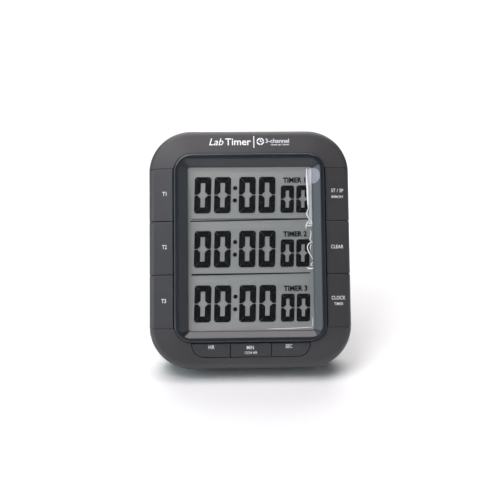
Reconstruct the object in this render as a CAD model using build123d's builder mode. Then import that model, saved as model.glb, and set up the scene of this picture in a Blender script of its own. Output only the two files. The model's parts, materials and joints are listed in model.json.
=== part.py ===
"""A three-channel laboratory countdown timer that stands on a bench.

The case is a rounded box with a sloped front ring. A glossy bezel frames a sunken display window. Three
keys run down each side and three sit below the window. A folding stand, the battery door, two magnets and
the sounder grille are at the back.

Every piece is modelled with the timer lying on its back: X to the right, Y up the face and Z out of the
display, with Z = 0 at the rear face. write_node() then stands each piece up, leaning back on its stand, with
the origin at the middle of the flat on which the case's bottom edge stands. All sizes are in millimetres.
"""

from build123d import *
from math import cos, radians, sin, tan
import os

# ---- the case ----
CASE_W = 105.0
CASE_H = 124.4
CASE_R = 22.0
FRONT_Z = 24.6  # the front ring's highest level, hidden under the bezel
RING_DROP = 2.0  # the ring falls by this much towards the outside
RING_RUN = 14.5
EDGE_R = 3.4
PARTING_Z = 9.0
REAR_INSET = 1.7  # the rear cover tapers in by this much
REAR_R = 3.0
WALL = 2.0
CEILING_Z = 21.2  # underside of the front ring
LIP_H = 1.5
LIP_T = 1.0
LIP_ROOT = 0.5  # the lip's foot reaches this far into the wall
FIT = 0.1
TOUCH = 0.01  # edges this close to a level lie on it
PAST = 1.0  # how far a cut runs on past the last face
BITE = 0.1  # how far a boss reaches into what it stands on

# ---- how it stands ----
LEAN = 30.0  # the face leans back this far from upright
FOOT_Y = -61.3
FOOT_Z = 4.7
STAND_OPEN = 45.0
FOOT_SHIFT = 0.3  # the foot flat stops short of the rear face, where the edge is rounded

# ---- the window, its bezel and the display ----
SEAM_W, SEAM_H, SEAM_Y, SEAM_R = 79.4, 98.8, 0.4, 9.6
THROAT_W, THROAT_H, THROAT_Y, THROAT_R = 74.2, 93.2, 0.2, 6.0
OPEN_W, OPEN_H, OPEN_X, OPEN_Y, OPEN_R = 65.7, 86.1, 0.5, -0.15, 1.6
SEAM_GAP = 0.2
RIM_Z = 25.9
RIM_R = 1.1
THROAT_EDGE_R = 0.3
THROAT_Z = 25.5
SHELF_Z = 22.6  # the bezel's flange rests here on the housing
SHELF_W = 2.0
RAIL_Z = 20.0  # bottom of the bezel and of the rail round it
SILL_Z = 23.2  # foot of the bezel's slope
POCKET_Z = 22.9
GASKET_T = 0.2
WINDOW_T = 1.2
WINDOW_Z = POCKET_Z - GASKET_T  # the window's top face
WINDOW_MARGIN = 2.4  # how far the window reaches past the opening
ADHESIVE_GAP = 0.2
FILM_T, FILM_GAP = 0.1, 0.5
TAB_Y, TAB_L, TAB_W, TAB_RISE = 38.2, 6.2, 7.6, 38.0
TAB_R, TAB_ROOT, TAB_START = 3.0, 3.0, 0.8

PCB_Z, PCB_T = 13.7, 1.2
PCB_TOP = PCB_Z + PCB_T
PCB_W, PCB_H, PCB_R = 99.4, 118.8, 19.2
BOSS_CLEARANCE = 0.4

GLASS_W, GLASS_H, GLASS_T = 68.0, 91.4, 1.1
LEDGE = 2.4  # contact ledge of the front glass, past the rear glass
REFLECTOR_Z = 17.2
REFLECTOR_T = 0.2
REAR_GLASS_Z = REFLECTOR_Z + REFLECTOR_T
FRONT_GLASS_Z = REAR_GLASS_Z + GLASS_T
POLARIZER_Z = FRONT_GLASS_Z + GLASS_T
POLARIZER_T = 0.2
FRAME_WALL = 2.0
FRAME_R = 1.2
FRAME_TOP = 19.9
FRAME_FLOOR_Z = 15.9
ZEBRA_W, ZEBRA_L = 2.0, 62.0

# ---- the keys ----
KEY_GAP = 0.34
KEY_TRAVEL = 0.8
SIDE_KEY_TOP = 41.95
SIDE_KEY_PITCH = 27.84
SIDE_KEY_SKIRT_Z = 17.3
NOTCH_GAP = 0.2
SIDE_NOTCH_Z = SIDE_KEY_SKIRT_Z - KEY_TRAVEL - NOTCH_GAP
KEY_LIP_Z = 15.9
KEY_ROOF_Z = 21.1
KEY_WALL, KEY_SIDE_WALL = 1.2, 1.8
KEY_EDGE_R = 0.3
KEY_LIP_GAP = 0.2
KEY_LIP_REACH = 1.0  # the lip runs this far into the key's outer wall
FLANGE_TOP, FLANGE_T, FLANGE_REACH = 19.9, 1.0, 1.0
TROUGH_W, TROUGH_BOTTOM, TROUGH_R, TROUGH_TALL = 61.6, -56.6, 7.0, 30.0
TROUGH_OVERLAP = 0.5
BOTTOM_KEY_SPLIT = 10.6  # half the middle key's pitch
COLLAR = 1.4
DOME_X = 45.4
DOME_R = 3.8
BOTTOM_DOME_X, DOME_Y = 20.6, -52.9  # the row of domes under the bottom keys
CROWN_R = 2.7
MAT_T = 0.8
MAT_W, MAT_R, MAT_SHORT = 7.8, 1.0, 2.0
BOTTOM_MAT_W, BOTTOM_MAT_H = 58.0, 8.0
DOME_WALL, PILL_GAP = 0.6, 0.1
CROWN_Z = 16.4
CROWN_TOP = 17.6
PILL_R, PILL_T = 1.9, 0.6
PLUNGER_R = 2.2
PLUNGER_GAP = 0.05

# ---- fasteners ----
BOSS_X, BOSS_Y = 39.5, 49.2
BOSS_R = 3.2
COLUMN_R = 4.3
SCREW_R, HEAD_R, HEAD_T = 1.3, 2.4, 1.9
SCREW_SEAT_Z = 4.5
SCREW_TIP_Z = 16.0
POST_R = 2.3
TOP_POST = (20.0, 54.6)
BOTTOM_POST = (36.0, -55.4)
SMALL_SCREW_R, SMALL_HEAD_R, SMALL_HEAD_T = 0.95, 1.8, 1.2
SMALL_SCREW_L = 5.5
SMALL_PILOT_L = 5.0
SCREW_FIT, HEAD_FIT = 0.15, 0.2
CROSS_L, CROSS_W, CROSS_DEPTH = 1.1, 0.25, 0.6  # the cross recess, as shares of the head

# ---- the stand ----
HINGE_Y, HINGE_Z = 18.0, 3.0
LEG_IN, LEG_OUT = 27.5, 33.5
STAND_T = 3.0
STAND_BACK_Z = 0.4
CROSSBAR = 7.5
STAND_CORNER_R = 3.0
STAND_SPARE = 2.0  # length that the sole plane cuts off
BARREL_R = 2.6
TRAY_WALL = 1.5
HEEL = 4.2
HEEL_T = 2.2
RECESS_GAP = 0.5
RECESS_Z = 4.0
ISLAND_TALL = 80.0  # runs up past the hinge
PIN_R = 1.0
PIN_HOLE_R = 1.03
PIN_GRIP = 2.5  # how far each pin reaches into the cover
PIN_COVER = 0.5  # plastic past the end of each pin
PAD_L, PAD_W, PAD_T = 44.0, 1.8, 1.6
PAD_PROUD = 0.5

# ---- batteries, sounder and magnets ----
CELL_R, CELL_L, CELL_Z = 5.15, 43.3, 7.0
NUB_R, NUB_L = 1.9, 1.0
CELL_PITCH = 11.0
WELL_W, WELL_H, WELL_Y = 49.0, 22.6, -28.5
WELL_Z = 1.7  # the ledge on which the door rests
WELL_TOP, WELL_CEILING = 12.4, 13.3
WELL_WALL = 1.5
WELL_R = 1.0
DOOR_W, DOOR_H, DOOR_T = 50.4, 24.6, 1.6
DOOR_GAP = 0.3
DOOR_R = 1.0
DOOR_HINGE_R = DOOR_T / 2  # the door's lower edge is fully round and turns about its middle
TONGUE_W, TONGUE_REACH, TONGUE_T = 7.0, 1.6, 1.2
TONGUE_ROOT, TONGUE_ROOT_T = 0.3, 1.2
SLOT_SIDE, SLOT_HEADROOM = 0.4, 2.0
TONGUE_Z = 2.2
TONGUE_X = 15.0
LATCH_W, LATCH_T, LATCH_TOP = 9.0, 1.0, 2.9
LATCH_GAP = 0.4
NAIL_R = 6.0
CONTACT_T, CONTACT_W = 0.4, 8.0
CELL_EDGE_R = 0.4
SPRING_WIRE, SPRING_R, SPRING_TURNS, SPRING_TAPER = 0.35, 2.4, 3, -8.0
SOUNDER_Y = 44.5
SOUNDER_R, SOUNDER_T = 13.5, 0.25
CERAMIC_R = 9.5
SOUNDER_Z = 4.2
SEAT_OUT, SEAT_IN = 1.0, 1.5
SLOT_PITCH, SLOT_L, SLOT_W, SLOT_SHORTER = 3.4, 16.0, 1.3, 3.0
MAGNET_X, MAGNET_Y = 29.0, 37.5
MAGNET_R, MAGNET_T, MAGNET_EDGE, MAGNET_GLUE = 7.0, 2.5, 0.3, 0.2

# ---- parts on the back of the circuit board ----
CHIP_Y, CHIP_R, CHIP_T, CHIP_EDGE_R = 12.0, 7.0, 1.2, 0.96
CRYSTAL_X, CRYSTAL_Y, CRYSTAL_R, CRYSTAL_L = 16.0, 8.0, 1.0, 6.0
COIL_X, COIL_Y, COIL_R, COIL_H, COIL_RIM = -16.0, 26.0, 3.0, 4.0, 0.8
SMD_Y, SMD_PITCH, SMD_L, SMD_W, SMD_T = -6.0, 5.0, 2.0, 1.2, 0.9
SMD_COLUMNS, SMD_ROWS = 6, 2
WIRE_R, WIRE_X, WIRE_LIFT = 0.45, 3.0, 0.12
WIRE_BEND_Y, WIRE_BEND_Z, WIRE_END_Y, WIRE_SPREAD = 27.0, 8.5, 22.5, 1.5

OUT = "parts"
os.makedirs(OUT, exist_ok=True)


def level(z):
    """The plane parallel to the rear face at height z."""
    return Plane.XY.offset(z)


def at_z(edges, z):
    """Those of the edges that lie flat at height z."""
    return edges.filter_by_position(Axis.Z, z - TOUCH, z + TOUCH)


# ---- where it stands ----
up = Vector(0, cos(radians(LEAN)), sin(radians(LEAN)))
foot = Vector(0, FOOT_Y, FOOT_Z)
floor_plane = Plane(origin=foot, x_dir=(1, 0, 0), z_dir=up)
# Middle of the foot flat: halfway down the floor plane to where it meets the rear face's rounded edge.
foot_middle = foot + Vector(0, tan(radians(LEAN)), -1) * (FOOT_Z / 2 - FOOT_SHIFT)
stand_up = Location((0, 0, 0), (90 - LEAN, 0, 0)) * Location(-foot_middle)

hinge = Vector(0, HINGE_Y, HINGE_Z)
hinge_axis = Axis(hinge, (1, 0, 0))
hinge_height = (hinge - foot).dot(up)
stand_tilt = radians(STAND_OPEN - LEAN)
sole_normal = Vector(0, -cos(stand_tilt), sin(stand_tilt))  # with the stand folded
heel_reach = HEEL * sin(radians(STAND_OPEN)) + HEEL_T / 2 * cos(radians(STAND_OPEN))
hinge_pocket_z = HINGE_Z + heel_reach + FIT  # the opened stand's heel rests here


def stand_end(z):
    """Y of the folded stand's sole at height z."""
    return HINGE_Y - (hinge_height - (z - HINGE_Z) * sin(stand_tilt)) / cos(stand_tilt)


stand_end_y = stand_end(STAND_BACK_Z)


def write_node(part, name):
    """Labels a piece, stands it up and writes it as one node."""
    part.label = name
    placed = part.moved(stand_up)
    placed.label = name
    export_step(placed, os.path.join(OUT, name + ".step"))


def rounded(width, height, radius, centre_y=0.0, centre_x=0.0):
    """A rounded rectangle, in the sketch being drawn."""
    with Locations((centre_x, centre_y)):
        RectangleRounded(width, height, radius)


def case_outline(inset=0.0):
    rounded(CASE_W - 2 * inset, CASE_H - 2 * inset, CASE_R - inset)


def seam_outline(inset=0.0):
    """The outline where the bezel meets the case, moved in by inset."""
    rounded(SEAM_W - 2 * inset, SEAM_H - 2 * inset, SEAM_R - inset, SEAM_Y)


def window_outline(grow=0.0):
    """The opening at the foot of the bezel's slope, moved out by grow."""
    rounded(OPEN_W + 2 * grow, OPEN_H + 2 * grow, OPEN_R + max(grow, 0.0), OPEN_Y, OPEN_X)


def slab(z_low, z_high, mode=Mode.ADD):
    """Gives the pending sketch, drawn at z_low, its height up to z_high."""
    extrude(amount=z_high - z_low, mode=mode)


# ---- the outer shape that the case and the keys share ----
with BuildPart() as envelope:
    with BuildSketch(level(PARTING_Z)):
        case_outline()
    slab(PARTING_Z, FRONT_Z)
    with BuildSketch(level(PARTING_Z)):
        case_outline()
    with BuildSketch(level(0)):
        case_outline(REAR_INSET)
    loft()
    front_face = envelope.faces().sort_by(Axis.Z)[-1]
    chamfer(front_face.edges(), length=RING_RUN, length2=RING_DROP, reference=front_face)
    fillet(at_z(envelope.edges(), FRONT_Z - RING_DROP), EDGE_R)
    fillet(envelope.faces().sort_by(Axis.Z)[0].edges(), REAR_R)
    split(bisect_by=floor_plane, keep=Keep.TOP)


def trough_outline(grow=0.0, top=SEAM_Y - SEAM_H / 2):
    """The opening of the bottom keys: straight along the bezel, rounded at its lower corners."""
    bottom = TROUGH_BOTTOM - grow
    with Locations((0, bottom + TROUGH_TALL / 2)):
        RectangleRounded(TROUGH_W + 2 * grow, TROUGH_TALL, TROUGH_R + grow)
    with Locations((0, top - TROUGH_TALL / 2)):
        Rectangle(TROUGH_W + 2 * grow, TROUGH_TALL, mode=Mode.INTERSECT)


ROWS = 3
SIDE_KEY_BOTTOM = SIDE_KEY_TOP - ROWS * SIDE_KEY_PITCH
SIDE_KEY_MIDDLE = (SIDE_KEY_TOP + SIDE_KEY_BOTTOM) / 2
SEAM_X = SEAM_W / 2
SEAM_BOTTOM = SEAM_Y - SEAM_H / 2
NOTCH_W = CASE_W / 2 - SEAM_X
CORNERS = [(sx * BOSS_X, sy * BOSS_Y) for sx in (-1, 1) for sy in (-1, 1)]
POSTS = [(sx * x, y) for sx in (-1, 1) for x, y in (TOP_POST, BOTTOM_POST)]

# ---- front housing ----
with BuildPart() as front_housing:
    add(envelope.part)
    split(bisect_by=level(PARTING_Z), keep=Keep.TOP)
    with BuildSketch(level(PARTING_Z)):
        case_outline(WALL)
    slab(PARTING_Z, CEILING_Z, Mode.SUBTRACT)
    # The rail that carries the bezel, and the collar round the bottom keys.
    with BuildSketch(level(RAIL_Z)):
        seam_outline()
    slab(RAIL_Z, SHELF_Z)
    with BuildSketch(level(RAIL_Z)):
        trough_outline(COLLAR)
    slab(RAIL_Z, CEILING_Z)
    with BuildSketch(level(SHELF_Z)):
        seam_outline()
    slab(SHELF_Z, FRONT_Z + PAST, Mode.SUBTRACT)
    with BuildSketch(level(RAIL_Z)):
        trough_outline()
    slab(RAIL_Z, SHELF_Z, Mode.SUBTRACT)
    with BuildSketch(level(SHELF_Z)):
        trough_outline(top=SEAM_BOTTOM + TROUGH_OVERLAP)
    slab(SHELF_Z, FRONT_Z, Mode.SUBTRACT)
    # Open notches for the side keys, down to the low side walls.
    with BuildSketch(level(SIDE_NOTCH_Z)):
        with Locations(*[(s * (SEAM_X + NOTCH_W / 2 + PAST), SIDE_KEY_MIDDLE) for s in (-1, 1)]):
            Rectangle(NOTCH_W + 2 * PAST, ROWS * SIDE_KEY_PITCH)
    slab(SIDE_NOTCH_Z, FRONT_Z, Mode.SUBTRACT)
    # Bosses for the case screws and posts for the circuit board.
    with BuildSketch(level(PARTING_Z)):
        with Locations(*CORNERS):
            Circle(BOSS_R)
    slab(PARTING_Z, CEILING_Z)
    with BuildSketch(level(PCB_TOP)):
        with Locations(*POSTS):
            Circle(POST_R)
    slab(PCB_TOP, CEILING_Z)
    with BuildSketch(level(RAIL_Z)):
        seam_outline(SHELF_W)
    slab(RAIL_Z, SHELF_Z, Mode.SUBTRACT)
    with Locations(*[Location((x, y, PARTING_Z), (180, 0, 0)) for x, y in CORNERS]):
        Hole(SCREW_R + FIT / 2, SCREW_TIP_Z + PAST - PARTING_Z)
    with Locations(*[Location((x, y, PCB_TOP), (180, 0, 0)) for x, y in POSTS]):
        Hole(SMALL_SCREW_R + FIT / 2, SMALL_PILOT_L)
write_node(front_housing.part, "front_housing")

# ---- bezel ----
with BuildPart() as bezel:
    with BuildSketch(level(SHELF_Z)):
        seam_outline(SEAM_GAP)
    slab(SHELF_Z, RIM_Z)
    with BuildSketch(level(RAIL_Z)):
        seam_outline(SHELF_W + SEAM_GAP)
    slab(RAIL_Z, SHELF_Z)
    fillet(at_z(bezel.edges(), RIM_Z), RIM_R)
    with BuildSketch(level(SILL_Z)):
        window_outline()
    with BuildSketch(level(THROAT_Z)):
        rounded(THROAT_W, THROAT_H, THROAT_R, THROAT_Y)
    loft(mode=Mode.SUBTRACT)
    with BuildSketch(level(THROAT_Z)):
        rounded(THROAT_W, THROAT_H, THROAT_R, THROAT_Y)
    slab(THROAT_Z, RIM_Z + PAST, Mode.SUBTRACT)
    rim_face = bezel.faces().filter_by(Axis.Z).sort_by(Axis.Z)[-1]
    fillet(rim_face.inner_wires()[0].edges(), THROAT_EDGE_R)
    with BuildSketch(level(POCKET_Z)):
        window_outline()
    slab(POCKET_Z, SILL_Z, Mode.SUBTRACT)
    with BuildSketch(level(RAIL_Z)):
        window_outline(WINDOW_MARGIN + FIT)
    slab(RAIL_Z, POCKET_Z, Mode.SUBTRACT)
write_node(bezel.part, "display_bezel")

# ---- window, its adhesive and the film on it ----
with BuildPart() as window:
    with BuildSketch(level(WINDOW_Z - WINDOW_T)):
        window_outline(WINDOW_MARGIN)
    slab(WINDOW_Z - WINDOW_T, WINDOW_Z)
write_node(window.part, "display_window")

with BuildPart() as adhesive:
    with BuildSketch(level(WINDOW_Z)):
        window_outline(WINDOW_MARGIN)
        with Locations((OPEN_X, OPEN_Y)):
            RectangleRounded(
                OPEN_W + 2 * ADHESIVE_GAP, OPEN_H + 2 * ADHESIVE_GAP, OPEN_R, mode=Mode.SUBTRACT
            )
    slab(WINDOW_Z, POCKET_Z)
write_node(adhesive.part, "window_adhesive")

# The film's pull tab rises over the right-hand slope of the bezel.
tab_foot = Vector(OPEN_X + OPEN_W / 2 - TAB_START, TAB_Y, WINDOW_Z + FILM_T / 2)
tab_plane = Plane(origin=tab_foot, x_dir=(1, 0, 0), z_dir=(0, 0, 1)).rotated((0, -TAB_RISE, 0))
with BuildPart() as film:
    with BuildSketch(level(WINDOW_Z)):
        window_outline(-FILM_GAP)
    slab(WINDOW_Z, WINDOW_Z + FILM_T)
    with BuildSketch(tab_plane):
        with Locations((TAB_L / 2, 0)):
            RectangleRounded(TAB_L, TAB_W, TAB_R)
        with Locations((TAB_ROOT / 2, 0)):
            Rectangle(TAB_ROOT, TAB_W)
    extrude(amount=FILM_T)
write_node(film.part, "protective_film")


# ---- liquid crystal display ----
def glass_plate(height, z, thickness):
    """A plate as wide as the display, lying at z."""
    with BuildPart() as plate:
        with BuildSketch(level(z)):
            with Locations((0, OPEN_Y)):
                Rectangle(GLASS_W, height)
        slab(z, z + thickness)
    return plate.part


REAR_GLASS_H = GLASS_H - 2 * LEDGE
write_node(glass_plate(REAR_GLASS_H, REFLECTOR_Z, REFLECTOR_T), "lcd_reflector")
write_node(glass_plate(REAR_GLASS_H, REAR_GLASS_Z, GLASS_T), "lcd_rear_glass")
write_node(glass_plate(GLASS_H, FRONT_GLASS_Z, GLASS_T), "lcd_front_glass")
write_node(glass_plate(REAR_GLASS_H, POLARIZER_Z, POLARIZER_T), "lcd_polarizer")

ZEBRA_PLACES = [(0, OPEN_Y + s * (GLASS_H - LEDGE) / 2) for s in (-1, 1)]
with BuildPart() as lcd_frame:
    with BuildSketch(level(PCB_TOP)):
        rounded(
            GLASS_W + 2 * (FRAME_WALL + FIT),
            GLASS_H + 2 * (FRAME_WALL + FIT),
            FRAME_R,
            OPEN_Y,
        )
    slab(PCB_TOP, FRAME_TOP)
    with BuildSketch(level(REFLECTOR_Z)):
        with Locations((0, OPEN_Y)):
            Rectangle(GLASS_W + 2 * FIT, GLASS_H + 2 * FIT)
    slab(REFLECTOR_Z, FRAME_TOP, Mode.SUBTRACT)
    with BuildSketch(level(PCB_TOP)):
        with Locations((0, OPEN_Y)):
            Rectangle(GLASS_W - 2 * FRAME_WALL, GLASS_H - 4 * LEDGE)
    slab(PCB_TOP, FRAME_FLOOR_Z, Mode.SUBTRACT)
    with BuildSketch(level(PCB_TOP)):
        with Locations(*ZEBRA_PLACES):
            Rectangle(ZEBRA_L + 2 * FIT, ZEBRA_W + 2 * FIT)
    slab(PCB_TOP, REFLECTOR_Z, Mode.SUBTRACT)
write_node(lcd_frame.part, "lcd_frame")

with BuildPart() as zebra_strips:
    with BuildSketch(level(PCB_TOP)):
        with Locations(*ZEBRA_PLACES):
            Rectangle(ZEBRA_L, ZEBRA_W)
    slab(PCB_TOP, FRONT_GLASS_Z)
write_node(zebra_strips.part, "zebra_strips")

# ---- circuit board and what is soldered to it ----
with BuildPart() as circuit_board:
    with BuildSketch(level(PCB_Z)):
        rounded(PCB_W, PCB_H, PCB_R)
        with Locations(*CORNERS):
            Circle(BOSS_R + BOSS_CLEARANCE, mode=Mode.SUBTRACT)
        with Locations(*POSTS):
            Circle(SMALL_SCREW_R + FIT, mode=Mode.SUBTRACT)
    slab(PCB_Z, PCB_TOP)
write_node(circuit_board.part, "circuit_board")

with BuildPart() as controller_chip:
    with BuildSketch(level(PCB_Z - CHIP_T)):
        with Locations((0, CHIP_Y)):
            Circle(CHIP_R)
    slab(PCB_Z - CHIP_T, PCB_Z)
    fillet(at_z(controller_chip.edges(), PCB_Z - CHIP_T), CHIP_EDGE_R)
write_node(controller_chip.part, "controller_chip")

with BuildPart() as crystal:
    with BuildSketch(Plane.XZ.offset(-CRYSTAL_Y)):
        with Locations((CRYSTAL_X, PCB_Z - CRYSTAL_R)):
            Circle(CRYSTAL_R)
    extrude(amount=CRYSTAL_L)
write_node(crystal.part, "quartz_crystal")

with BuildPart() as coil:
    with BuildSketch(level(PCB_Z - COIL_H)):
        with Locations((COIL_X, COIL_Y)):
            Circle(COIL_R)
    slab(PCB_Z - COIL_H, PCB_Z)
    with BuildSketch(level(PCB_Z - COIL_H + COIL_RIM)):
        with Locations((COIL_X, COIL_Y)):
            Circle(COIL_R)
            Circle(COIL_R - COIL_RIM, mode=Mode.SUBTRACT)
    slab(PCB_Z - COIL_H + COIL_RIM, PCB_Z - COIL_RIM, Mode.SUBTRACT)
write_node(coil.part, "sounder_coil")

with BuildPart() as chip_parts:
    with BuildSketch(level(PCB_Z - SMD_T)):
        with Locations((0, SMD_Y)):
            with GridLocations(SMD_PITCH, SMD_PITCH, SMD_COLUMNS, SMD_ROWS):
                Rectangle(SMD_L, SMD_W)
    slab(PCB_Z - SMD_T, PCB_Z)
write_node(chip_parts.part, "chip_capacitors")


# ---- keys, the rubber mats under them and their contact pills ----
def side_key_y(row):
    return SIDE_KEY_TOP - (row + 0.5) * SIDE_KEY_PITCH


def side_key(side, row):
    """One key of a side column; side is -1 for the left and 1 for the right."""
    y = side_key_y(row)
    length = SIDE_KEY_PITCH - KEY_GAP
    inner = SEAM_X + KEY_GAP / 2
    outer = CASE_W / 2
    lip_in = outer - WALL - KEY_LIP_GAP - LIP_T
    pocket = outer - KEY_SIDE_WALL - inner - KEY_WALL
    with BuildPart() as key:
        with BuildSketch(level(SIDE_KEY_SKIRT_Z)):
            with Locations((side * (inner + outer) / 2, y)):
                Rectangle(outer - inner + 2 * TOUCH, length)
        slab(SIDE_KEY_SKIRT_Z, FRONT_Z)
        add(envelope.part, mode=Mode.INTERSECT)
        across = key.edges().filter_by(lambda edge: abs(edge.bounding_box().size.Y) < TOUCH)
        ends = across.filter_by(lambda edge: edge.center().Z > SIDE_KEY_SKIRT_Z + BITE)
        rim = ends.filter_by(lambda edge: abs(edge.center().X) > inner + BITE)
        along = key.edges().filter_by(Axis.Y).sort_by(lambda edge: abs(edge.center().X) - edge.center().Z)
        fillet(list(rim) + [along[0]], KEY_EDGE_R)
        with BuildSketch(level(SIDE_KEY_SKIRT_Z)):
            with Locations((side * (inner + KEY_WALL + outer - KEY_SIDE_WALL) / 2, y)):
                Rectangle(pocket, length - 2 * KEY_WALL)
        slab(SIDE_KEY_SKIRT_Z, KEY_ROOF_Z, Mode.SUBTRACT)
        # Flange under the bezel's rail, and a lip inside the case's side wall.
        with BuildSketch(level(FLANGE_TOP - FLANGE_T)):
            with Locations((side * (inner - FLANGE_REACH / 2 + KEY_WALL / 2), y)):
                Rectangle(FLANGE_REACH + KEY_WALL, length - 2 * KEY_WALL)
        slab(FLANGE_TOP - FLANGE_T, FLANGE_TOP)
        with BuildSketch(level(SIDE_KEY_SKIRT_Z)):
            with Locations((side * (lip_in + outer - KEY_LIP_REACH) / 2, y)):
                Rectangle(outer - KEY_LIP_REACH - lip_in, length - 2 * KEY_WALL)
        slab(SIDE_KEY_SKIRT_Z, SIDE_KEY_SKIRT_Z + LIP_T)
        with BuildSketch(level(KEY_LIP_Z)):
            with Locations((side * (lip_in + LIP_T / 2), y)):
                Rectangle(LIP_T, length - 2 * KEY_WALL)
        slab(KEY_LIP_Z, SIDE_KEY_SKIRT_Z)
        with BuildSketch(level(CROWN_TOP + PLUNGER_GAP)):
            with Locations((side * DOME_X, y)):
                Circle(PLUNGER_R)
        slab(CROWN_TOP + PLUNGER_GAP, KEY_ROOF_Z + BITE)
    return key.part


def bottom_key(column):
    """One key under the window; column is -1, 0 or 1."""
    far = TROUGH_W / 2 + PAST
    near, split_gap = BOTTOM_KEY_SPLIT, KEY_GAP / 2
    left = (-far, -near + split_gap, near + split_gap)[column + 1]
    right = (-near - split_gap, near - split_gap, far)[column + 1]

    def share():
        with Locations(((left + right) / 2, TROUGH_BOTTOM)):
            Rectangle(right - left, 2 * TROUGH_TALL, mode=Mode.INTERSECT)

    with BuildPart() as key:
        with BuildSketch(level(FLANGE_TOP - FLANGE_T)):
            trough_outline(-KEY_GAP, SEAM_BOTTOM - KEY_GAP / 2)
            share()
        slab(FLANGE_TOP - FLANGE_T, FRONT_Z)
        add(envelope.part, mode=Mode.INTERSECT)
        fillet(key.faces().sort_by(Axis.Z)[-1].edges(), KEY_EDGE_R)
        with BuildSketch(level(FLANGE_TOP - FLANGE_T)) as pocket:
            trough_outline(-KEY_GAP, SEAM_BOTTOM - KEY_GAP / 2)
            share()
            offset(amount=-KEY_WALL)
        slab(FLANGE_TOP - FLANGE_T, KEY_ROOF_Z, Mode.SUBTRACT)
        with BuildSketch(level(FLANGE_TOP - FLANGE_T)):
            trough_outline(FLANGE_REACH - KEY_GAP, SEAM_BOTTOM + FLANGE_REACH - KEY_GAP)
            share()
            add(pocket.sketch_local, mode=Mode.SUBTRACT)
        slab(FLANGE_TOP - FLANGE_T, FLANGE_TOP)
        with BuildSketch(level(CROWN_TOP + PLUNGER_GAP)):
            with Locations((column * BOTTOM_DOME_X, DOME_Y)):
                Circle(PLUNGER_R)
        slab(CROWN_TOP + PLUNGER_GAP, KEY_ROOF_Z + BITE)
    return key.part


KEY_NAMES = {
    "left": ["key_timer_1", "key_timer_2", "key_timer_3"],
    "right": ["key_start_stop", "key_clear", "key_clock"],
    "bottom": ["key_hour", "key_minute", "key_second"],
}
for row in range(ROWS):
    write_node(side_key(-1, row), KEY_NAMES["left"][row])
    write_node(side_key(1, row), KEY_NAMES["right"][row])
    write_node(bottom_key(row - 1), KEY_NAMES["bottom"][row])

DOME_PLACES = {
    "left": [(-DOME_X, side_key_y(row)) for row in range(ROWS)],
    "right": [(DOME_X, side_key_y(row)) for row in range(ROWS)],
    "bottom": [(column * BOTTOM_DOME_X, DOME_Y) for column in (-1, 0, 1)],
}
with BuildPart() as dome:
    with BuildSketch(Plane.XZ):
        with BuildLine():
            Polyline(
                (0, CROWN_TOP),
                (CROWN_R, CROWN_TOP),
                (CROWN_R, CROWN_Z),
                (DOME_R, PCB_TOP + MAT_T),
                (DOME_R, PCB_TOP),
                (0, PCB_TOP),
                close=True,
            )
        make_face()
    revolve(axis=Axis.Z)
with BuildPart() as dome_hollow:
    with BuildSketch(Plane.XZ):
        with BuildLine():
            Polyline(
                (0, PCB_TOP),
                (DOME_R - DOME_WALL, PCB_TOP),
                (PILL_R + PILL_GAP, CROWN_Z),
                (0, CROWN_Z),
                close=True,
            )
        make_face()
    revolve(axis=Axis.Z)


def key_mat(places, width, height):
    """A silicone mat on the board with a collapsing dome under each key."""
    middle_x = sum(x for x, y in places) / len(places)
    middle_y = sum(y for x, y in places) / len(places)
    with BuildPart() as mat:
        with BuildSketch(level(PCB_TOP)):
            with Locations((middle_x, middle_y)):
                RectangleRounded(width, height, MAT_R)
        slab(PCB_TOP, PCB_TOP + MAT_T)
        with Locations(*places):
            add(dome.part)
        with Locations(*places):
            add(dome_hollow.part, mode=Mode.SUBTRACT)
    return mat.part


for group in ("left", "right"):
    write_node(key_mat(DOME_PLACES[group], MAT_W, ROWS * SIDE_KEY_PITCH - MAT_SHORT), "keypad_" + group)
write_node(key_mat(DOME_PLACES["bottom"], BOTTOM_MAT_W, BOTTOM_MAT_H), "keypad_bottom")

for group, places in DOME_PLACES.items():
    for name, place in zip(KEY_NAMES[group], places):
        with BuildPart() as pill:
            with BuildSketch(level(CROWN_Z - PILL_T)):
                with Locations(place):
                    Circle(PILL_R)
            slab(CROWN_Z - PILL_T, CROWN_Z)
        write_node(pill.part, name.replace("key", "contact_pill"))


# ---- rear cover ----
def stand_recess(grow):
    """Outline of the U that the folded stand lies in."""
    low = stand_end_y - RECESS_GAP - grow
    top = HINGE_Y
    with Locations((0, (low + top) / 2)):
        Rectangle(2 * (LEG_OUT + RECESS_GAP + grow), top - low)
    island_low = stand_end_y + CROSSBAR + RECESS_GAP + grow
    island_w = 2 * (LEG_IN - RECESS_GAP - grow)
    with Locations((0, island_low + ISLAND_TALL / 2)):
        RectangleRounded(island_w, ISLAND_TALL, STAND_CORNER_R - RECESS_GAP - grow, mode=Mode.SUBTRACT)


def lip_bore():
    """Takes the inside of the lip out of the sketch being drawn."""
    inset = WALL + FIT + LIP_T
    RectangleRounded(CASE_W - 2 * inset, CASE_H - 2 * inset, CASE_R - inset, mode=Mode.SUBTRACT)


HINGE_PLACES = [(s * (LEG_IN + LEG_OUT) / 2, 0) for s in (-1, 1)]
POCKET_W = LEG_OUT - LEG_IN + 2 * RECESS_GAP
POCKET_LOW = HINGE_Y - BARREL_R - RECESS_GAP
POCKET_TOP = HINGE_Y + HEEL + RECESS_GAP
POCKET_MIDDLE = [(x, (POCKET_LOW + POCKET_TOP) / 2) for x, y in HINGE_PLACES]
DOOR_TOP = WELL_Y + DOOR_H / 2
DOOR_BOTTOM = WELL_Y - DOOR_H / 2
TONGUES = [(-TONGUE_X, 0), (TONGUE_X, 0)]

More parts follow.
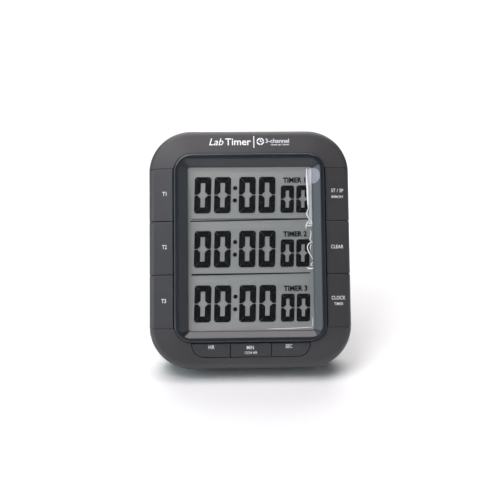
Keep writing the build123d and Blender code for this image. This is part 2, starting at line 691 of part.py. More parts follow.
with BuildPart() as rear_cover:
    add(envelope.part)
    split(bisect_by=level(PARTING_Z), keep=Keep.BOTTOM)
    with BuildSketch(level(WALL)):
        case_outline(REAR_INSET + WALL)
    with BuildSketch(level(PARTING_Z)):
        case_outline(WALL)
    loft(mode=Mode.SUBTRACT)
    with BuildSketch(level(PARTING_Z - LIP_H)):
        case_outline(WALL - LIP_ROOT)
        lip_bore()
    slab(PARTING_Z - LIP_H, PARTING_Z)
    with BuildSketch(level(PARTING_Z)):
        case_outline(WALL + FIT)
        lip_bore()
    slab(PARTING_Z, PARTING_Z + LIP_H)
    # Screw columns, the battery well, the stand's tray and its hinge blocks, magnet cups, sounder seat.
    with BuildSketch(level(WALL / 2)):
        with Locations(*CORNERS):
            Circle(COLUMN_R)
    slab(WALL / 2, PARTING_Z)
    with BuildSketch(level(WALL / 2)):
        with Locations((0, WELL_Y)):
            RectangleRounded(WELL_W + 2 * WELL_WALL, WELL_H + 2 * WELL_WALL, WELL_R)
    slab(WALL / 2, WELL_CEILING)
    with BuildSketch(level(WALL / 2)):
        stand_recess(TRAY_WALL)
    slab(WALL / 2, RECESS_Z + TRAY_WALL)
    with BuildSketch(level(WALL / 2)):
        with Locations(*POCKET_MIDDLE):
            Rectangle(POCKET_W + 2 * (PIN_GRIP + PIN_COVER), POCKET_TOP - POCKET_LOW + 2 * TRAY_WALL)
    slab(WALL / 2, hinge_pocket_z + TRAY_WALL)
    with BuildSketch(level(WALL / 2)):
        with Locations((-MAGNET_X, MAGNET_Y), (MAGNET_X, MAGNET_Y)):
            Circle(MAGNET_R + TRAY_WALL)
    slab(WALL / 2, MAGNET_T + MAGNET_GLUE + TRAY_WALL)
    with BuildSketch(level(WALL / 2)):
        with Locations((0, SOUNDER_Y)):
            Circle(SOUNDER_R + SEAT_OUT)
            Circle(SOUNDER_R - SEAT_IN, mode=Mode.SUBTRACT)
    slab(WALL / 2, SOUNDER_Z)
    # Openings.
    with BuildSketch(level(0)):
        with Locations((0, WELL_Y)):
            RectangleRounded(DOOR_W + 2 * DOOR_GAP, DOOR_H + 2 * DOOR_GAP, DOOR_GAP)
    slab(0, WELL_Z, Mode.SUBTRACT)
    with BuildSketch(level(WELL_Z)):
        with Locations((0, WELL_Y)):
            Rectangle(WELL_W, WELL_H)
    slab(WELL_Z, WELL_TOP, Mode.SUBTRACT)
    with BuildSketch(level(WALL)):
        with Locations(*[(x, WELL_Y - WELL_H / 2 - WELL_WALL) for x, y in TONGUES]):
            Rectangle(TONGUE_W + 2 * SLOT_SIDE, 2 * (TONGUE_REACH + SLOT_SIDE))
    slab(WALL, TONGUE_Z + TONGUE_T + SLOT_HEADROOM, Mode.SUBTRACT)
    with BuildSketch(level(0)):
        with Locations((0, DOOR_TOP + DOOR_GAP)):
            Circle(NAIL_R)
        with Locations((0, stand_end_y - RECESS_GAP)):
            Circle(NAIL_R / 2)
    slab(0, WALL / 2, Mode.SUBTRACT)
    with BuildSketch(level(0)):
        stand_recess(0)
    slab(0, RECESS_Z, Mode.SUBTRACT)
    with BuildSketch(level(0)):
        with Locations(*POCKET_MIDDLE):
            Rectangle(POCKET_W, POCKET_TOP - POCKET_LOW)
    slab(0, hinge_pocket_z, Mode.SUBTRACT)
    for x, y in HINGE_PLACES:
        with BuildSketch(Plane.YZ.offset(x - POCKET_W / 2 - PIN_GRIP)):
            with Locations((HINGE_Y, HINGE_Z)):
                Circle(PIN_R)
        extrude(amount=POCKET_W + 2 * PIN_GRIP, mode=Mode.SUBTRACT)
    with BuildSketch(level(0)):
        with Locations((-MAGNET_X, MAGNET_Y), (MAGNET_X, MAGNET_Y)):
            Circle(MAGNET_R + FIT)
    slab(0, MAGNET_T + MAGNET_GLUE, Mode.SUBTRACT)
    with BuildSketch(level(0)):
        for step in range(-2, 3):
            with Locations((0, SOUNDER_Y + step * SLOT_PITCH)):
                SlotOverall(SLOT_L - abs(step) * SLOT_SHORTER, SLOT_W)
    slab(0, WALL, Mode.SUBTRACT)
    with Locations(*[Location((x, y, 0), (180, 0, 0)) for x, y in CORNERS]):
        CounterBoreHole(SCREW_R + SCREW_FIT, HEAD_R + HEAD_FIT, SCREW_SEAT_Z, PARTING_Z)
write_node(rear_cover.part, "rear_cover")

# ---- stand ----
STAND_MID_Z = STAND_BACK_Z + STAND_T / 2
sole = Plane(origin=(0, stand_end(STAND_MID_Z), STAND_MID_Z), x_dir=(1, 0, 0), z_dir=sole_normal)
with BuildPart() as kickstand:
    with BuildSketch(level(STAND_BACK_Z)):
        with Locations((0, (stand_end_y - STAND_SPARE + HINGE_Y) / 2)):
            Rectangle(2 * LEG_OUT, HINGE_Y - stand_end_y + STAND_SPARE)
        with Locations((0, stand_end_y + CROSSBAR + ISLAND_TALL / 2)):
            RectangleRounded(2 * LEG_IN, ISLAND_TALL, STAND_CORNER_R, mode=Mode.SUBTRACT)
    slab(STAND_BACK_Z, STAND_BACK_Z + STAND_T)
    for x, y in HINGE_PLACES:
        with BuildSketch(Plane.YZ.offset(x - (LEG_OUT - LEG_IN) / 2)):
            with Locations((HINGE_Y, HINGE_Z)):
                Circle(BARREL_R)
            with Locations((HINGE_Y + HEEL / 2, HINGE_Z)):
                Rectangle(HEEL, HEEL_T)
        extrude(amount=LEG_OUT - LEG_IN)
        with BuildSketch(Plane.YZ.offset(x - (LEG_OUT - LEG_IN) / 2)):
            with Locations((HINGE_Y, HINGE_Z)):
                Circle(PIN_HOLE_R)
        extrude(amount=LEG_OUT - LEG_IN, mode=Mode.SUBTRACT)
    split(bisect_by=sole.offset(-PAD_PROUD), keep=Keep.BOTTOM)
    with BuildSketch(sole):
        Rectangle(PAD_L, PAD_W)
    extrude(amount=-PAD_T, mode=Mode.SUBTRACT)
with BuildPart() as stand_pad:
    with BuildSketch(sole):
        Rectangle(PAD_L, PAD_W)
    extrude(amount=-PAD_T)
write_node(kickstand.part.rotate(hinge_axis, STAND_OPEN), "kickstand")
write_node(stand_pad.part.rotate(hinge_axis, STAND_OPEN), "kickstand_pad")
with BuildPart() as hinge_pins:
    for x, y in HINGE_PLACES:
        with BuildSketch(Plane.YZ.offset(x - POCKET_W / 2 - PIN_GRIP)):
            with Locations((HINGE_Y, HINGE_Z)):
                Circle(PIN_R)
        extrude(amount=POCKET_W + 2 * PIN_GRIP)
write_node(hinge_pins.part, "kickstand_pins")

# ---- battery door ----
DOOR_HINGE_Y = DOOR_BOTTOM + DOOR_HINGE_R
TONGUE_ROOT_Y = WELL_Y - WELL_H / 2 + TONGUE_ROOT
TONGUE_TIP_Y = DOOR_BOTTOM - TONGUE_REACH
TONGUE_END_Y = TONGUE_ROOT_Y + TONGUE_ROOT_T
with BuildPart() as battery_door:
    with BuildSketch(Plane.YZ.offset(-DOOR_W / 2)):
        with Locations(((DOOR_HINGE_Y + DOOR_TOP) / 2, DOOR_T / 2)):
            Rectangle(DOOR_TOP - DOOR_HINGE_Y, DOOR_T)
        with Locations((DOOR_HINGE_Y, DOOR_HINGE_R)):
            Circle(DOOR_HINGE_R)
    extrude(amount=DOOR_W)
    upright = battery_door.edges().filter_by(Axis.Z)
    fillet(upright.filter_by(lambda edge: edge.center().Y > DOOR_TOP - TOUCH), DOOR_R)
    with BuildSketch(level(DOOR_T)):
        with Locations(*[(x, TONGUE_ROOT_Y + TONGUE_ROOT_T / 2) for x, y in TONGUES]):
            Rectangle(TONGUE_W, TONGUE_ROOT_T)
    slab(DOOR_T, TONGUE_Z + TONGUE_T)
    with BuildSketch(level(TONGUE_Z)):
        with Locations(*[(x, (TONGUE_END_Y + TONGUE_TIP_Y) / 2) for x, y in TONGUES]):
            Rectangle(TONGUE_W, TONGUE_END_Y - TONGUE_TIP_Y)
    slab(TONGUE_Z, TONGUE_Z + TONGUE_T)
    with BuildSketch(level(DOOR_T)):
        with Locations((0, WELL_Y + WELL_H / 2 - LATCH_GAP - LATCH_T / 2)):
            Rectangle(LATCH_W, LATCH_T)
    slab(DOOR_T, LATCH_TOP)
write_node(battery_door.part, "battery_door")

# ---- batteries and their contacts ----
CONTACT_X = WELL_W / 2 - CONTACT_T
BODY_NEAR = CONTACT_X - NUB_L  # the plus end's shoulder
BODY_FAR = BODY_NEAR - CELL_L  # the minus end
for name, side, y in (("battery_upper", 1, CELL_PITCH / 2), ("battery_lower", -1, -CELL_PITCH / 2)):
    with BuildPart() as cell:
        with BuildSketch(Plane.YZ.offset(side * BODY_FAR)):
            with Locations((WELL_Y + y, CELL_Z)):
                Circle(CELL_R)
        extrude(amount=side * CELL_L)
        fillet(cell.edges(), CELL_EDGE_R)
        with BuildSketch(Plane.YZ.offset(side * BODY_NEAR)):
            with Locations((WELL_Y + y, CELL_Z)):
                Circle(NUB_R)
        extrude(amount=side * NUB_L)
    write_node(cell.part, name)

with BuildPart() as springs:
    for side, y in ((1, CELL_PITCH / 2), (-1, -CELL_PITCH / 2)):
        length = BODY_FAR + CONTACT_X - 2 * SPRING_WIRE
        start = (-side * (CONTACT_X - SPRING_WIRE), WELL_Y + y, CELL_Z)
        with BuildLine() as coil_line:
            Helix(
                length / SPRING_TURNS,
                length,
                SPRING_R,
                center=start,
                direction=(side, 0, 0),
                cone_angle=SPRING_TAPER,
            )
        with BuildSketch(Plane(origin=coil_line.line @ 0, z_dir=coil_line.line % 0)):
            Circle(SPRING_WIRE)
        sweep()
write_node(springs.part, "battery_springs")

with BuildPart() as contacts:
    with BuildSketch(Plane.YZ.offset(-WELL_W / 2)):
        with Locations((WELL_Y, CELL_Z)):
            Rectangle(CELL_PITCH + CONTACT_W, CONTACT_W)
    extrude(amount=CONTACT_T)
    for y in (-CELL_PITCH / 2, CELL_PITCH / 2):
        with BuildSketch(Plane.YZ.offset(CONTACT_X)):
            with Locations((WELL_Y + y, CELL_Z)):
                Rectangle(CONTACT_W, CONTACT_W)
        extrude(amount=CONTACT_T)
write_node(contacts.part, "battery_contacts")

# ---- magnets, sounder and screws ----
for name, x in (("magnet_left", -MAGNET_X), ("magnet_right", MAGNET_X)):
    with BuildPart() as magnet:
        with BuildSketch(level(0)):
            with Locations((x, MAGNET_Y)):
                Circle(MAGNET_R)
        slab(0, MAGNET_T)
        chamfer(magnet.edges(), MAGNET_EDGE)
    write_node(magnet.part, name)

with BuildPart() as sounder_disc:
    with BuildSketch(level(SOUNDER_Z)):
        with Locations((0, SOUNDER_Y)):
            Circle(SOUNDER_R)
    slab(SOUNDER_Z, SOUNDER_Z + SOUNDER_T)
write_node(sounder_disc.part, "sounder_disc")

with BuildPart() as ceramic:
    with BuildSketch(level(SOUNDER_Z + SOUNDER_T)):
        with Locations((0, SOUNDER_Y)):
            Circle(CERAMIC_R)
    slab(SOUNDER_Z + SOUNDER_T, SOUNDER_Z + 2 * SOUNDER_T)
write_node(ceramic.part, "sounder_ceramic")

WIRE_ENDS = [
    Vector(-WIRE_X, SOUNDER_Y, SOUNDER_Z + 2 * SOUNDER_T + WIRE_LIFT),
    Vector(WIRE_X, SOUNDER_Y - SOUNDER_R + 2.0, SOUNDER_Z + SOUNDER_T + WIRE_LIFT),
]
with BuildPart() as wires:
    for start in WIRE_ENDS:
        with BuildLine() as route:
            Spline(
                start,
                start + Vector(0, -1.5, 3.0),
                Vector(start.X * WIRE_SPREAD, WIRE_BEND_Y, WIRE_BEND_Z),
                Vector(start.X * WIRE_SPREAD, WIRE_END_Y, PCB_Z),
                tangents=[(0, -0.2, 1), (0, -0.4, 1)],
            )
        with BuildSketch(Plane(origin=route.line @ 0, z_dir=route.line % 0)):
            Circle(WIRE_R)
        sweep()
    split(bisect_by=level(PCB_Z), keep=Keep.BOTTOM)
write_node(wires.part, "sounder_wires")


def screw(x, y, seat, radius, head_r, head_t, length):
    """A pan-head screw driven in from the rear, its head under the seat, with a cross recess."""
    with BuildPart() as made:
        with BuildSketch(level(seat - head_t)):
            with Locations((x, y)):
                Circle(head_r)
        slab(seat - head_t, seat)
        fillet(at_z(made.edges(), seat - head_t), head_t * 0.4)
        with BuildSketch(level(seat)):
            with Locations((x, y)):
                Circle(radius)
        slab(seat, seat + length)
        chamfer(at_z(made.edges(), seat + length), radius * 0.5)
        with BuildSketch(level(seat - head_t)):
            with Locations((x, y)):
                Rectangle(head_r * CROSS_L, head_r * CROSS_W)
                Rectangle(head_r * CROSS_W, head_r * CROSS_L)
        slab(seat - head_t, seat - head_t * (1 - CROSS_DEPTH), Mode.SUBTRACT)
    return made.part


case_screws = Compound(
    children=[
        screw(x, y, SCREW_SEAT_Z, SCREW_R, HEAD_R, HEAD_T, SCREW_TIP_Z - SCREW_SEAT_Z) for x, y in CORNERS
    ]
)
write_node(case_screws, "case_screws")
board_screws = Compound(
    children=[
        screw(x, y, PCB_Z, SMALL_SCREW_R, SMALL_HEAD_R, SMALL_HEAD_T, SMALL_SCREW_L) for x, y in POSTS
    ]
)
write_node(board_screws, "board_screws")
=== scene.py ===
"""Looks of the laboratory timer: materials, display segments, printed legends, the film and small mouldings.

Places are worked out in the face frame: x to the right, y up the face from the case's middle and z out of the
display from the rear face, in metres.
"""

import json
import math
import bmesh
import bpy
from mathutils import Matrix, Vector


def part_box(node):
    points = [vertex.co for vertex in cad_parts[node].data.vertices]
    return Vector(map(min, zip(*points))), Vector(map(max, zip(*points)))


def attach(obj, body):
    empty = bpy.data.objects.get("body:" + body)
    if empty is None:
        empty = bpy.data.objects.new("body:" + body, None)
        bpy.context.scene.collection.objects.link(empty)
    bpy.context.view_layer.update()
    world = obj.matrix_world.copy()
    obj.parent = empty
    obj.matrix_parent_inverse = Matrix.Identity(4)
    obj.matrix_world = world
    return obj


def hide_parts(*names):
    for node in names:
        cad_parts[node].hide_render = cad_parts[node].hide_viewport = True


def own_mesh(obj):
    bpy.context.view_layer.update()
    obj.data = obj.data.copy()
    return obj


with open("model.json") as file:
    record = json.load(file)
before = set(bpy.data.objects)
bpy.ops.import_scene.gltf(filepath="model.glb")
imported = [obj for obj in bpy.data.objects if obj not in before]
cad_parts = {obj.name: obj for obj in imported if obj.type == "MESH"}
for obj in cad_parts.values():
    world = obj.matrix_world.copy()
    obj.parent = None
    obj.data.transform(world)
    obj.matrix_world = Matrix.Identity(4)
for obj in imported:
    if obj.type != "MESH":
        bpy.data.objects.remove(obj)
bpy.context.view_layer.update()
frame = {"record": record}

MM = 0.001
record = frame["record"]
mounts = {m["name"]: m for m in record["mounts"]}

# ---------------------------------------------------------------- the face frame
face_x = Vector((1, 0, 0))
face_z = -Vector(mounts["magnet_left_face"]["axis"]).normalized()
face_y = face_z.cross(face_x).normalized()
face_turn = Matrix((face_x, face_y, face_z)).transposed()


def raw_face_box(node):
    """Lowest and highest values of a CAD node along the three face directions."""
    points = [v.co for v in bpy.data.objects[node].data.vertices]
    spans = [[p.dot(d) for p in points] for d in (face_x, face_y, face_z)]
    return [(min(s), max(s)) for s in spans]


case_span = raw_face_box("front_housing")
rear_span = raw_face_box("rear_cover")
face_origin = face_y * (sum(case_span[1]) / 2) + face_z * rear_span[2][0]


def face_box(node):
    """The node's box in the face frame: ((x0, x1), (y0, y1), (z0, z1))."""
    spans = raw_face_box(node)
    offsets = [face_origin.dot(d) for d in (face_x, face_y, face_z)]
    return [(low - o, high - o) for (low, high), o in zip(spans, offsets)]


def at(x, y, z):
    """A point of the face frame, in the row frame."""
    return face_origin + face_x * x + face_y * y + face_z * z


FACE = Matrix.Translation(face_origin) @ face_turn.to_4x4()


# ---------------------------------------------------------------- materials
def tree(name):
    """A new node material and its Principled shader."""
    material = bpy.data.materials.new(name)
    material.use_nodes = True
    nodes = material.node_tree.nodes
    return material, nodes, material.node_tree.links, nodes["Principled BSDF"]


def add(nodes, kind, **values):
    """A new node; a value that names an input sets it, any other sets a property."""
    node = nodes.new(kind)
    for key, value in values.items():
        if key in node.inputs:
            node.inputs[key].default_value = value
        else:
            setattr(node, key, value)
    return node


def noise(nodes, links, scale, detail=2.0, roughness=0.5):
    """A noise texture in object space; scale is in features per metre."""
    place = nodes.new("ShaderNodeTexCoord")
    made = add(nodes, "ShaderNodeTexNoise", Scale=scale, Detail=detail, Roughness=roughness)
    links.new(place.outputs["Object"], made.inputs["Vector"])
    return made


def ramp(nodes, links, source, low, high, start=0.3, end=0.7):
    """A colour ramp between two colours."""
    made = nodes.new("ShaderNodeValToRGB")
    made.color_ramp.elements[0].position = start
    made.color_ramp.elements[1].position = end
    made.color_ramp.elements[0].color = (*low, 1)
    made.color_ramp.elements[1].color = (*high, 1)
    links.new(source, made.inputs["Fac"])
    return made


def place_axes(nodes, links):
    """The place in object space, split into X, Y and Z."""
    place = nodes.new("ShaderNodeTexCoord")
    split = nodes.new("ShaderNodeSeparateXYZ")
    links.new(place.outputs["Object"], split.inputs["Vector"])
    return split


def span(nodes, links, source, low, high):
    """Maps a value from 0..1 to low..high."""
    made = nodes.new("ShaderNodeMapRange")
    made.inputs["To Min"].default_value = low
    made.inputs["To Max"].default_value = high
    links.new(source, made.inputs["Value"])
    return made


def soften(nodes, links, bump, radius):
    """Rounds a moulding's edges in its shading; a radius of 0 leaves them sharp."""
    if radius:
        soft = add(nodes, "ShaderNodeBevel", Radius=radius)
        soft.samples = 4
        links.new(soft.outputs["Normal"], bump.inputs["Normal"])


def rough_plastic(name, tone, grain=5200.0, depth=0.1, gloss=(0.42, 0.55), edge=0.00028, vary=0.12):
    """Moulded plastic with a fine spark-eroded grain and softened edges."""
    material, nodes, links, shader = tree(name)
    cloud = noise(nodes, links, 26.0, 3.0)
    dark = tuple(c * (1 - vary) for c in tone)
    light = tuple(c * (1 + vary) for c in tone)
    colour = ramp(nodes, links, cloud.outputs["Fac"], dark, light)
    links.new(colour.outputs["Color"], shader.inputs["Base Color"])
    fine = noise(nodes, links, grain, 3.0, 0.6)
    sheen = span(nodes, links, fine.outputs["Fac"], *gloss)
    links.new(sheen.outputs["Result"], shader.inputs["Roughness"])
    bump = add(nodes, "ShaderNodeBump", Strength=depth, Distance=0.00005)
    links.new(fine.outputs["Fac"], bump.inputs["Height"])
    soften(nodes, links, bump, edge)
    links.new(bump.outputs["Normal"], shader.inputs["Normal"])
    return material


def glossy_plastic(name, tone, roughness=(0.07, 0.13), edge=0.0):
    """Polished moulding with faint flow marks."""
    material, nodes, links, shader = tree(name)
    cloud = noise(nodes, links, 40.0, 3.0)
    colour = ramp(nodes, links, cloud.outputs["Fac"], tuple(c * 0.9 for c in tone), tuple(c * 1.1 for c in tone))
    links.new(colour.outputs["Color"], shader.inputs["Base Color"])
    smear = noise(nodes, links, 320.0, 4.0)
    sheen = span(nodes, links, smear.outputs["Fac"], *roughness)
    links.new(sheen.outputs["Result"], shader.inputs["Roughness"])
    bump = add(nodes, "ShaderNodeBump", Strength=0.05, Distance=0.0002)
    links.new(cloud.outputs["Fac"], bump.inputs["Height"])
    soften(nodes, links, bump, edge)
    links.new(bump.outputs["Normal"], shader.inputs["Normal"])
    return material


def clear(name, tint, alpha, roughness, specular=0.5):
    """A thin clear sheet that lets what is behind it show."""
    material, nodes, links, shader = tree(name)
    shader.inputs["Alpha"].default_value = alpha
    shader.inputs["Specular IOR Level"].default_value = specular
    cloud = noise(nodes, links, 60.0, 2.0)
    colour = ramp(nodes, links, cloud.outputs["Fac"], tuple(c * 0.94 for c in tint), tint)
    links.new(colour.outputs["Color"], shader.inputs["Base Color"])
    sheen = span(nodes, links, cloud.outputs["Fac"], roughness * 0.8, roughness * 1.2)
    links.new(sheen.outputs["Result"], shader.inputs["Roughness"])
    return material


def metal(name, tone, roughness, grain=900.0):
    """Bare metal with a slightly uneven tone and polish."""
    material, nodes, links, shader = tree(name)
    shader.inputs["Metallic"].default_value = 1.0
    cloud = noise(nodes, links, grain, 4.0)
    colour = ramp(nodes, links, cloud.outputs["Fac"], tuple(c * 0.85 for c in tone), tone)
    links.new(colour.outputs["Color"], shader.inputs["Base Color"])
    sheen = span(nodes, links, cloud.outputs["Fac"], roughness * 0.7, roughness * 1.3)
    links.new(sheen.outputs["Result"], shader.inputs["Roughness"])
    return material


# The display's colour from its left to its right edge: painted light and shade, lighter at the left.
PAINTED_LIT_LEFT, PAINTED_SHADED_RIGHT = (0.196, 0.206, 0.204), (0.140, 0.152, 0.150)
# A painted glow, though the display has no lamp: its light from the lower to the upper edge, with the stops between
# them.
PAINTED_GLOW_LOW, PAINTED_GLOW_HIGH = (0.152, 0.144, 0.145), (0.186, 0.188, 0.188)
PAINTED_GLOW_STOPS = ((0.15, (0.108, 0.110, 0.110)), (0.5, (0.084, 0.089, 0.089)), (0.86, (0.104, 0.106, 0.106)))


def display_face():
    """The display's grey-green background: a fine grain over painted light and shade from left to right, and a
    painted glow.
    """
    material, nodes, links, shader = tree("display_face")
    low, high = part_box("lcd_polarizer")
    split = place_axes(nodes, links)
    across, rise = nodes.new("ShaderNodeMapRange"), nodes.new("ShaderNodeMapRange")
    for made, axis, index in ((across, "X", 0), (rise, "Z", 2)):
        made.inputs["From Min"].default_value = low[index]
        made.inputs["From Max"].default_value = high[index]
        links.new(split.outputs[axis], made.inputs["Value"])
    # Painted light and shade: the display's colour runs lighter at the left and darker at the right.
    colour = ramp(nodes, links, across.outputs["Result"], PAINTED_LIT_LEFT, PAINTED_SHADED_RIGHT, 0.0, 1.0)
    links.new(colour.outputs["Color"], shader.inputs["Base Color"])
    glow = ramp(nodes, links, rise.outputs["Result"], PAINTED_GLOW_LOW, PAINTED_GLOW_HIGH, 0.0, 1.0)
    for share, tone in PAINTED_GLOW_STOPS:
        glow.color_ramp.elements.new(share).color = (*tone, 1)
    # Painted light: an emission that lifts the display where the bezel shades it.
    links.new(glow.outputs["Color"], shader.inputs["Emission Color"])
    shader.inputs["Emission Strength"].default_value = 1.0
    fine = noise(nodes, links, 3500.0, 2.0)
    sheen = span(nodes, links, fine.outputs["Fac"], 0.42, 0.5)
    links.new(sheen.outputs["Result"], shader.inputs["Roughness"])
    shader.inputs["Specular IOR Level"].default_value = 0.3
    return material


SLEEVE_DARK, SLEEVE_PALE, SLEEVE_COPPER = (0.03, 0.05, 0.06), (0.55, 0.57, 0.58), (0.6, 0.36, 0.12)
SLEEVE_STOPS = ((0.0, SLEEVE_DARK), (0.30, SLEEVE_PALE), (0.34, SLEEVE_DARK), (0.74, SLEEVE_COPPER))


def cell_sleeve(box):
    """A battery's printed sleeve: a dark body, a pale band and a copper-coloured plus end."""
    material, nodes, links, shader = tree("cell_sleeve")
    split = place_axes(nodes, links)
    along = nodes.new("ShaderNodeMapRange")
    along.inputs["From Min"].default_value = box[0][0]
    along.inputs["From Max"].default_value = box[1][0]
    links.new(split.outputs["X"], along.inputs["Value"])
    bands = nodes.new("ShaderNodeValToRGB")
    bands.color_ramp.interpolation = "CONSTANT"
    while len(bands.color_ramp.elements) < len(SLEEVE_STOPS):
        bands.color_ramp.elements.new(0.5)
    for element, (place_at, tone) in zip(bands.color_ramp.elements, SLEEVE_STOPS):
        element.position = place_at
        element.color = (*tone, 1)
    links.new(along.outputs["Result"], bands.inputs["Fac"])
    links.new(bands.outputs["Color"], shader.inputs["Base Color"])
    fine = noise(nodes, links, 700.0)
    sheen = span(nodes, links, fine.outputs["Fac"], 0.22, 0.32)
    links.new(sheen.outputs["Result"], shader.inputs["Roughness"])
    return material


CASE = rough_plastic("case_plastic", (0.054, 0.0515, 0.0555), grain=2600.0, depth=0.35)
KEY = rough_plastic("key_plastic", (0.050, 0.0495, 0.055), grain=2600.0, depth=0.3, gloss=(0.40, 0.5))
BEZEL = glossy_plastic("bezel_plastic", (0.022, 0.027, 0.033), edge=0.0004)
WINDOW = clear("clear_window", (0.5, 0.52, 0.52), 0.004, 0.04, 0.12)
FILM = clear("film", (0.6, 0.6, 0.66), 0.008, 0.18, 0.12)
# Near-opaque white for the creases: a painted highlight on the clear film.
FILM_HIGHLIGHT = clear("film_edge", (1.0, 1.0, 1.0), 0.97, 0.35, 1.0)
# Whitish, part-clear sheet for the curl: a painted reflection on the clear film.
FILM_CURL = clear("film_curl", (0.90, 0.94, 1.0), 0.36, 0.3, 0.8)
TAB = clear("film_tab", (0.80, 0.78, 0.92), 0.31, 0.3)
LCD = display_face()
SEGMENT = rough_plastic("lcd_segment", (0.004, 0.004, 0.0045), gloss=(0.6, 0.7), edge=0.0)
SEGMENT.node_tree.nodes["Principled BSDF"].inputs["Specular IOR Level"].default_value = 0.03
PRINTED = {"grain": 3000.0, "depth": 0.02, "edge": 0.0, "vary": 0.03}  # printed surfaces are smooth and even
PRINT = rough_plastic("white_print", (0.93, 0.93, 0.95), gloss=(0.5, 0.6), **PRINTED)
RUBBER = rough_plastic("pad_rubber", (0.02, 0.02, 0.02), grain=2500.0, depth=0.2, gloss=(0.7, 0.85))
SILICONE = rough_plastic("silicone", (0.42, 0.42, 0.40), grain=1800.0, gloss=(0.6, 0.7), edge=0.0)
PILL = rough_plastic("conductive_rubber", (0.02, 0.02, 0.02), grain=2000.0, gloss=(0.6, 0.7), edge=0.0)
FRAME = rough_plastic("frame_plastic", (0.6, 0.6, 0.58), gloss=(0.5, 0.6), edge=0.0)
BOARD = glossy_plastic("solder_mask", (0.01, 0.10, 0.035), (0.25, 0.35))
EPOXY = glossy_plastic("glob_top", (0.008, 0.008, 0.008), (0.2, 0.3))
FERRITE = rough_plastic("ferrite", (0.03, 0.03, 0.03), gloss=(0.5, 0.6), edge=0.0)
CHIP = rough_plastic("ceramic_chip", (0.32, 0.2, 0.1), gloss=(0.35, 0.45), edge=0.0)
PIEZO = metal("piezo_silver", (0.85, 0.84, 0.8), 0.35)
STEEL = metal("zinc_steel", (0.62, 0.62, 0.64), 0.3)
NICKEL = metal("nickel", (0.72, 0.71, 0.69), 0.2, 500.0)
BRASS = metal("brass", (0.80, 0.60, 0.28), 0.25)
EDGE = rough_plastic("window_edge", (0.13, 0.135, 0.14), gloss=(0.5, 0.6), edge=0.0)
WIRE = glossy_plastic("wire_sleeve", (0.45, 0.02, 0.02), (0.3, 0.4))
LCD_GLASS = clear("lcd_glass", (0.7, 0.74, 0.7), 0.3, 0.05)

# ---------------------------------------------------------------- CAD nodes get their materials
NODE_LOOKS = {
    "front_housing": CASE,
    "rear_cover": CASE,
    "battery_door": CASE,
    "kickstand": CASE,
    "display_bezel": BEZEL,
    "display_window": WINDOW,
    "window_adhesive": PILL,
    "lcd_polarizer": LCD,
    "lcd_front_glass": LCD_GLASS,
    "lcd_rear_glass": LCD_GLASS,
    "lcd_reflector": STEEL,
    "lcd_frame": FRAME,
    "zebra_strips": PILL,
    "circuit_board": BOARD,
    "controller_chip": EPOXY,
    "quartz_crystal": STEEL,
    "sounder_coil": FERRITE,
    "chip_capacitors": CHIP,
    "case_screws": STEEL,
    "board_screws": STEEL,
    "kickstand_pins": STEEL,
    "kickstand_pad": RUBBER,
    "battery_springs": NICKEL,
    "battery_contacts": NICKEL,
    "magnet_left": NICKEL,
    "magnet_right": NICKEL,
    "sounder_disc": BRASS,
    "sounder_ceramic": PIEZO,
    "sounder_wires": WIRE,
    "keypad_left": SILICONE,
    "keypad_right": SILICONE,
    "keypad_bottom": SILICONE,
    "battery_upper": cell_sleeve(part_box("battery_upper")),
    "battery_lower": cell_sleeve(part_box("battery_lower")[::-1]),
}


def dress(node, material):
    """Gives a CAD node one material throughout."""
    data = bpy.data.objects[node].data
    if not data.materials:
        data.materials.append(material)
    for index in range(len(data.materials)):
        data.materials[index] = material


for entry in record["subparts"]:
    node = entry["node"]
    if node in NODE_LOOKS:
        dress(node, NODE_LOOKS[node])
    elif node.startswith("key_"):
        dress(node, KEY)
    elif node.startswith("contact_pill"):
        dress(node, PILL)


# ---------------------------------------------------------------- building pieces
def piece(name, data, material, body, turn=None):
    """An object in the row frame from data in the face frame, riding on a body."""
    data.name = name
    made = bpy.data.objects.new(name, data)
    bpy.context.scene.collection.objects.link(made)
    data.transform(FACE if turn is None else FACE @ turn)
    if not data.materials:
        data.materials.append(material)
    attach(made, body)
    return made


def mesh_from(form, name):
    """A mesh from a finished form, which is freed."""
    data = bpy.data.meshes.new(name)
    form.to_mesh(data)
    form.free()
    return data


def plates(name, outlines, z, thickness, material, body):
    """Thin flat plates from closed outlines in the face plane, joined in one piece."""
    form = bmesh.new()
    for outline in outlines:
        bottom = [form.verts.new((x, y, z)) for x, y in outline]
        top = [form.verts.new((x, y, z + thickness)) for x, y in outline]
        form.faces.new(top)
        form.faces.new(bottom[::-1])
        count = len(outline)
        for i in range(count):
            j = (i + 1) % count
            form.faces.new((bottom[i], bottom[j], top[j], top[i]))
    bmesh.ops.recalc_face_normals(form, faces=form.faces)
    return piece(name, mesh_from(form, name), material, body)


CAPITAL = 0.70  # a capital's height as a share of the font's size


def lettering(
    name,
    text,
    height,
    material,
    body,
    turn,
    weight=0.0,
    spacing=1.0,
    depth=0.04 * MM,
    lean=0.0,
    align="CENTER",
    wide=1.0,
):
    """Flat raised lettering with the given capital height; lean slants it to the right and wide stretches it."""
    curve = bpy.data.curves.new(name + "_curve", "FONT")
    curve.body = text
    curve.align_x = align
    curve.align_y = "CENTER"
    curve.size = 1.0
    curve.space_character = spacing
    curve.shear = lean
    curve.resolution_u = 5
    scale = height / CAPITAL
    curve.offset = weight
    curve.extrude = depth / 2 / scale
    holder = bpy.data.objects.new(name + "_text", curve)
    bpy.context.scene.collection.objects.link(holder)
    bpy.context.view_layer.update()
    data = bpy.data.meshes.new_from_object(holder.evaluated_get(bpy.context.evaluated_depsgraph_get()))
    bpy.data.objects.remove(holder)
    data.transform(Matrix.Diagonal((scale * wide, scale, scale, 1)))
    return piece(name, data, material, body, turn)


